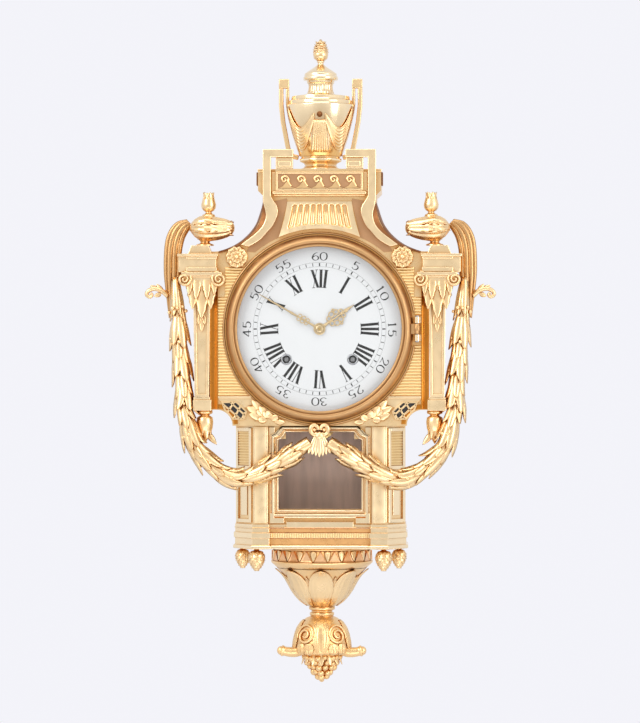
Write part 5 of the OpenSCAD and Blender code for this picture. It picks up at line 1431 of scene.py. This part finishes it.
def rosettes():
    """Two rings of petals round a boss, on a disc, at each shoulder of the case."""
    shape = Shape()
    for hand in (1, -1):
        x, y = hand * ROSETTE[0], ROSETTE[1]
        solid_ring(shape, ROSETTE_DISC, (x, y), 48)
        for count, r0, r1, wide, lift in PETAL_RINGS:
            for a in angles(count, 0.14):
                leaf(shape, spot(x + r0 * math.cos(a), y + r0 * math.sin(a), lift),
                     spot(x + r1 * math.cos(a), y + r1 * math.sin(a), lift - 0.6), wide,
                     curl=0.1, rows=8, fold=0.24, belly=0.95)
        ball(shape, spot(x, y, 107.2), 2.9, 14, 9)
    shape.object("rosette_petals", GILT, "rosettes", thick=0.7)


def rib_ends(hand, y):
    """Where a rib starts beside the bezel and where it ends; nothing where a rosette leaves it no room."""
    x0, x1 = math.sqrt(RING_OUT ** 2 - y * y) - 0.8, RIB_X if y < 40 else 118.0
    if math.dist((x1, y), ROSETTE) < 14.5 or math.dist((x0, y), ROSETTE) < 11:
        return None
    if hand > 0 and abs(y) < 18.5:
        x0 = max(x0, 127.6)
    return (x0, x1) if x1 - x0 >= 1.5 else None


def rib_panels():
    """Fine level ribs beside the dial, the ring round the bezel and the hollow beside each pilaster, darkened
    with painted shade.
    """
    ribs, foot, ring, cove = Shape(), Shape(), Shape(), Shape()
    for k in range(RIBS):
        y = RIB_LOW + RIB_PITCH * k
        for hand in (1, -1):
            ends = rib_ends(hand, y)
            if ends:
                ribs.add_rod([[spot(hand * x, y + h, CASE_FRONT + d) for h, d in RIB] for x in ends])
    ribs.object("side_ribs", RIB_GILT, "rib_panels")
    prism(foot, RIB_FOOT, CASE_FRONT, CASE_FRONT + 1.2)
    prism(foot, strip([(86, -85.4), (RIB_X, -85.4)], 1.5), CASE_FRONT, CASE_FRONT + 2.8)
    foot.mirrored().object("rib_foot_moulding", PALE_GILT, bevel=0.5, smooth=False)
    solid_ring(ring, RING_PROFILE, (0, 0), 168, 10.0, 340.0)
    ring.object("dial_ring_moulding", BEZEL_GILT)
    cove.add_rod([[spot(x, y, CASE_FRONT + d) for x, d in SIDE_COVE] for y in (-100.0, 60.0)])
    solid_ring(cove, [(r, CASE_FRONT + d) for r, d in COVE_TURN], COVE_CENTRE, 24, 90.0, 90.0)
    # painted shade: the hollows beside the pilasters take the deep orange gilt
    cove.mirrored().object("side_coves", RECESS_SHADE_GILT)


PIL_X = 147.0
PIL_FRONT = 109.0
PIL_BACK = 79.0
PIL_FOOT = -85.0
PIL_TOP = 45.0
BUD_X = PIL_X - 3
BUD_OUT = 96.0
SCROLL_TURNS = 1.9
SCROLL_WIRE = 1.9
SCROLL_Y = 62

# Blocks of a pilaster as (x0, x1, y0, y1, back, front), from its middle line, its back and its front
PIL_BLOCKS = [(-12, 11, -102, -88.4, -2, 0), (-10.4, 10.4, -88.4, -85.2, -1, -0.9), (-25, 25, 66.6, 71, 0, 3),
              (-22.5, 22.5, 64.4, 66.6, 0, 1.6), (-18, 29, 71, 91, -8, -0.4), (-19, 19.6, 71.4, 77, 28, 1.2),
              (-19, 19.6, 87.6, 90.8, 28, 1.0), (-20, 30.5, 90.6, 94, -8.5, 2)]
PIL_SHAFT = [(-9, PIL_FOOT), (9, PIL_FOOT), (10.5, PIL_TOP), (-10.5, PIL_TOP)]
PIL_BELL = [(-12, PIL_TOP), (11, PIL_TOP), (20, 65), (-20, 65)]
PIL_PLINTH = [(-12.5, 94), (17.5, 94), (13.5, 104.6), (-8, 104.6)]

# Leaves of a capital as (x, lean, width, foot y, tip y, lift)
CAPITAL_LEAVES = [(0, 0, 26, 70, 12, 2.2), (-10, -1.5, 19, 69, 24, 0.6), (10, 1.5, 19, 69, 24, 0.6),
                  (-5.5, -1.5, 14, 68, 36, 2.2), (5.5, 1.5, 14, 68, 36, 2.2), (-15, -1, 11, 68, 42, 0.6),
                  (15, 1, 11, 68, 42, 0.6)]
BUD_PROFILE = [(9.5, -102.2), (9.5, -105.4), (6, -107), (5.4, -108.2), (9.6, -110.8), (10.4, -116),
               (9.6, -124), (6.6, -132), (3.2, -138.4), (0.6, -143)]


def frame_panel(shape, corners, out, rim, lift):
    """A raised border along the closed front-view outline of a panel."""
    inner = []
    for i, corner in enumerate(corners):
        c = Vector(corner)
        before = (Vector(corners[i - 1]) - c).normalized()
        after = (Vector(corners[(i + 1) % len(corners)]) - c).normalized()
        inner.append(tuple(c + (before + after) * rim / max(0.3, abs(before.cross(after)))))
    levels = ((out - 0.5, corners), (out + lift, corners), (out + lift, inner), (out - 0.5, inner))
    shape.add_grid([[spot(x, y, level) for x, y in line] for level, line in levels],
                   close_rows=True, close_columns=True)


def scroll(shape, at, out, radius, hand):
    """A spiral of wire in the front view, from its outer end at the top to the eye."""
    points = []
    count = int(16 * SCROLL_TURNS)
    for k in range(count + 1):
        t = k / count
        a = math.pi / 2 - hand * FULL_TURN * SCROLL_TURNS * t
        r = radius * (1 - 0.86 * t)
        points.append(spot(at[0] + r * math.cos(a), at[1] + r * math.sin(a), out + 2.2 * t))
    tube(shape, points, lambda t: SCROLL_WIRE * (1 - 0.45 * t), steps=int(26 * SCROLL_TURNS), sides=8)


def pilaster(hand, name):
    """A tapered shaft with a leafy capital, two volutes, a plinth for the lamp and a hanging bud."""
    shaft, leaves, curls, bud = Shape(), Shape(), Shape(), Shape()

    def at(outline):
        return [(hand * (PIL_X + x), y) for x, y in outline]

    prism(shaft, at(PIL_SHAFT), PIL_BACK, PIL_FRONT - 2.4)
    frame_panel(shaft, at(PIL_SHAFT), PIL_FRONT - 2.4, 3.6, 1.6)
    prism(shaft, at(PIL_BELL), PIL_BACK, PIL_FRONT)
    prism(shaft, at(PIL_PLINTH), PIL_BACK + 1, PIL_FRONT - 5)
    for x0, x1, y0, y1, back, front in PIL_BLOCKS:
        block(shaft, hand * (PIL_X + x0), hand * (PIL_X + x1), y0, y1, PIL_BACK + back, PIL_FRONT + front)
    shaft.object("pilaster_shaft_" + name, PALE_GILT, "pilaster_" + name, bevel=0.6, smooth=False)

    def hang(x0, y0, out0, x1, y1, out1, wide, **form):
        foot = spot(hand * (PIL_X + x0), y0, PIL_FRONT + out0)
        leaf(leaves, foot, spot(hand * (PIL_X + x1), y1, PIL_FRONT + out1), wide, **form)

    for x, lean, wide, y0, y1, lift in CAPITAL_LEAVES:
        hang(x, y0, -0.4, x + lean, y1, 0.6 + lift, wide, curl=0.05, lobes=5, rows=20, belly=0.3)
    hang(0, 21, -1.4, 0, -4, -1.0, 9, lobes=4, rows=14, fold=-0.25)
    for x in (-4, 4):
        hang(x / 2, 20, -1.4, x, 5, -1.2, 5, rows=8, fold=-0.25)
    leaves.object("pilaster_acanthus_" + name, GILT, thick=0.9)
    for x, r, turn in ((-21.5, 9.4, hand), (21.5, 9.0, -hand)):
        centre = (hand * (PIL_X + x), SCROLL_Y)
        disc = [(0.4, PIL_BACK + 8), (r - 1.6, PIL_BACK + 8), (r - 1.2, PIL_FRONT), (0.4, PIL_FRONT + 1)]
        solid_ring(curls, disc, centre, 28)
        scroll(curls, centre, PIL_FRONT + 1.2, r, turn)
    curls.object("pilaster_volutes_" + name, GILT)
    lathe(bud, crisp(BUD_PROFILE), (hand * BUD_X, 0, BUD_OUT))
    leaf_ring(bud, (hand * BUD_X, BUD_OUT), angles(7, 0.3), (9.8, -113), (6.2, -138), 8, curl=0.12, rows=8)
    leaf(bud, spot(hand * (PIL_X - 5), -128, 100), spot(hand * (PIL_X - 18), -145, 97), 8, (0, -1, 0.3),
         curl=0.1, rows=8)
    bud.object("pilaster_bud_" + name, GILT, thick=0.6)


# Rings of the lamp's bowl as (distance from its broad end, y, half height, half depth)
LAMP_RINGS = [(0, 127, 2.5, 3), (2, 127, 6.5, 8), (6, 126.8, 11, 14), (12, 126.6, 14.6, 18.4),
              (20, 126.4, 16.4, 20.4), (28, 126.2, 15.4, 18.4), (35, 126, 14.2, 15), (42, 126.2, 12.6, 12.4),
              (47, 126.4, 11, 10.8), (51, 126.6, 9, 9), (54, 126.8, 6.4, 6.4), (55.6, 127, 3.4, 3.4),
              (56, 127, 1, 1)]
LAMP_FOOT = [(11, 104.6), (11, 106.2), (6.6, 107.6), (5.6, 109.2), (9, 113)]
LAMP_NECK = [(8.5, 139.5), (8, 143.4), (4.6, 145), (3.6, 147), (6.4, 148.4), (8.8, 151.6), (9.4, 156),
             (7.6, 163)]
LAMP_END = 163.0
LAMP_OUT = 89.0
LAMP_X = 141.0
FLAME_X = LAMP_X - 1.4
FOOT_X = LAMP_X + 3
LAMP_STEPS = 48


def lamp(hand, name):
    """An antique oil lamp: gadrooned bowl drawn out to a spout, on a foot, with a tulip flame on its neck."""
    body, leaves = Shape(), Shape()
    rows = []
    spans = len(LAMP_RINGS) - 1
    for k in range(LAMP_STEPS + 1):
        i = min(k * spans // LAMP_STEPS, spans - 1)
        ring, after = Vector(LAMP_RINGS[i]), Vector(LAMP_RINGS[i + 1])
        s, y, tall, deep = ring.lerp(after, k * spans / LAMP_STEPS - i)
        row = []
        for a in angles(72):
            rib = 1 + 0.11 * (abs(math.sin(6 * a + 0.3)) - 0.6) * min(1.0, tall / 9)
            up, out = tall * rib * math.sin(a), deep * rib * math.cos(a)
            row.append(spot(hand * (LAMP_END - s), y + up, LAMP_OUT + out))
        rows.append(row)
    body.add_rod(rows)
    lathe(body, crisp(LAMP_FOOT), (hand * FOOT_X, 0, LAMP_OUT))
    lathe(body, crisp(LAMP_NECK), (hand * FLAME_X, 0, LAMP_OUT))
    body.object("lamp_bowl_" + name, GILT, "lamp_" + name)

    def collar_leaf(a, foot, tip, face, wide, **form):
        c, s = math.cos(a), math.sin(a)
        ends = [spot(hand * (x + across * c), y, LAMP_OUT + deep * s) for x, across, y, deep in (foot, tip)]
        leaf(leaves, *ends, wide, spot(hand * c, face, s), curl=0.2, fold=-0.4, **form)

    for a in angles(12, 0.13):
        collar_leaf(a, (LAMP_X, 5, 142.4, 6), (LAMP_X, 20.5, 127.5, 21.6), 1.2, 12.5, lobes=3, rows=12)
        collar_leaf(a, (FOOT_X, 9, 112.4, 9), (LAMP_X, 20.5, 125.5, 21), -1.0, 11.5)
    leaf_ring(leaves, (hand * FLAME_X, LAMP_OUT), angles(6, 0.2), (7.2, 149.6), (5.6, 171.6), 11.5,
              curl=0.06, rows=12, fold=-0.45, belly=0.9)
    for k, a in enumerate(angles(9)):
        c, s = math.cos(a), math.sin(a)
        odd = k % 2
        leaf(leaves, spot(hand * (LAMP_END - 27 - 4 * odd), 126 + 11.6 * s, LAMP_OUT + 11.8 * c),
             spot(hand * (LAMP_END - 53 - 2 * odd), 126.6 + 8.6 * s, LAMP_OUT + 8.6 * c), 9.4, spot(0, s, c),
             curl=0.03, rows=14, fold=-0.5, belly=1.3)
    leaves.object("lamp_leaves_" + name, GILT, thick=0.8)


CLOTH_OUTER = [(168, 138), (181, 134.5), (190.5, 123), (195.5, 105), (196.5, 72), (193.5, 43), (190, 14)]
CLOTH_INNER = [(161, 131), (166, 124), (171.5, 113), (175, 95), (175.5, 68), (178, 42), (184.5, 18)]
CLOTH_OUT = 77.6
CLOTH_STEPS = 40
TENDRIL = [(192, 42, 77), (199, 48, 78), (208, 51, 78), (216, 48.5, 78), (218.5, 43.5, 78),
           (214.5, 40.5, 78.5), (211.5, 43, 79), (213.5, 45.5, 79)]
TENDRIL_LEAVES = ((198, 47, 206, 57), (204, 50, 214, 55), (200, 45, 209, 41))


def hanging_cloth(hand, name):
    """Cast cloth in long folds behind the garland, and the curled tendril below it."""
    cloth, tendril = Shape(), Shape()
    outer, inner = smooth_line(CLOTH_OUTER, CLOTH_STEPS), smooth_line(CLOTH_INNER, CLOTH_STEPS)

    def cloth_point(t, u):
        row = round(t * CLOTH_STEPS)
        x, y = between(inner[row], outer[row], u)
        pleat = 2 * ((3.4 * u + 0.2 * math.sin(3 * t)) % 1.0) - 1
        fold = 1.5 * (1 - abs(pleat) ** 2.4) * min(1, 0.3 + 2 * t) - 0.6
        return spot(hand * x, y, CLOTH_OUT + fold - 3.0 * (2 * u - 1) ** 4)

    cloth.add_grid(sheet(CLOTH_STEPS, CLOTH_STEPS, cloth_point))
    cloth.object("cloth_folds_" + name, TAWNY_GILT, "drapery_" + name, thick=1.6)
    path = [spot(hand * x, y, out) for x, y, out in TENDRIL]
    tube(tendril, path, lambda t: 3.0 - 1.6 * t, steps=44, sides=10)
    for x0, y0, x1, y1 in TENDRIL_LEAVES:
        leaf(tendril, spot(hand * x0, y0, 79), spot(hand * x1, y1, 79.5), 6, rows=8)
    tendril.object("cloth_tendril_" + name, GILT, thick=0.7)


bpy.context.scene.view_settings.view_transform = "Standard"
paint_frame()
set_camera()
set_world()
set_lamps()
add_floor()
dial_marks()
clock_hand("hour_hand", "hour_pipe", 55.0, (7.5, 3.65, 1.0), HOUR_BLADE, HOUR_RINGS)
clock_hand("minute_hand", "minute_arbor", 300.0, (5.2, 1.62, 1.8), MINUTE_BLADE, MINUTE_RINGS)
for hand, name in SIDES:
    garland(hand, "garland_" + name)
garland_bow()
urn()
key_bands()
coves()
frieze()
flutes()
bezel()
winding_holes()
rosettes()
rib_panels()
for hand, name in SIDES:
    pilaster(hand, name)
    lamp(hand, name)
    hanging_cloth(hand, name)
lower_panels()
window_frame()
base_moulding()
apron()
bowl()
terminal()
berries()
corner_cones()
leaf_sprays()
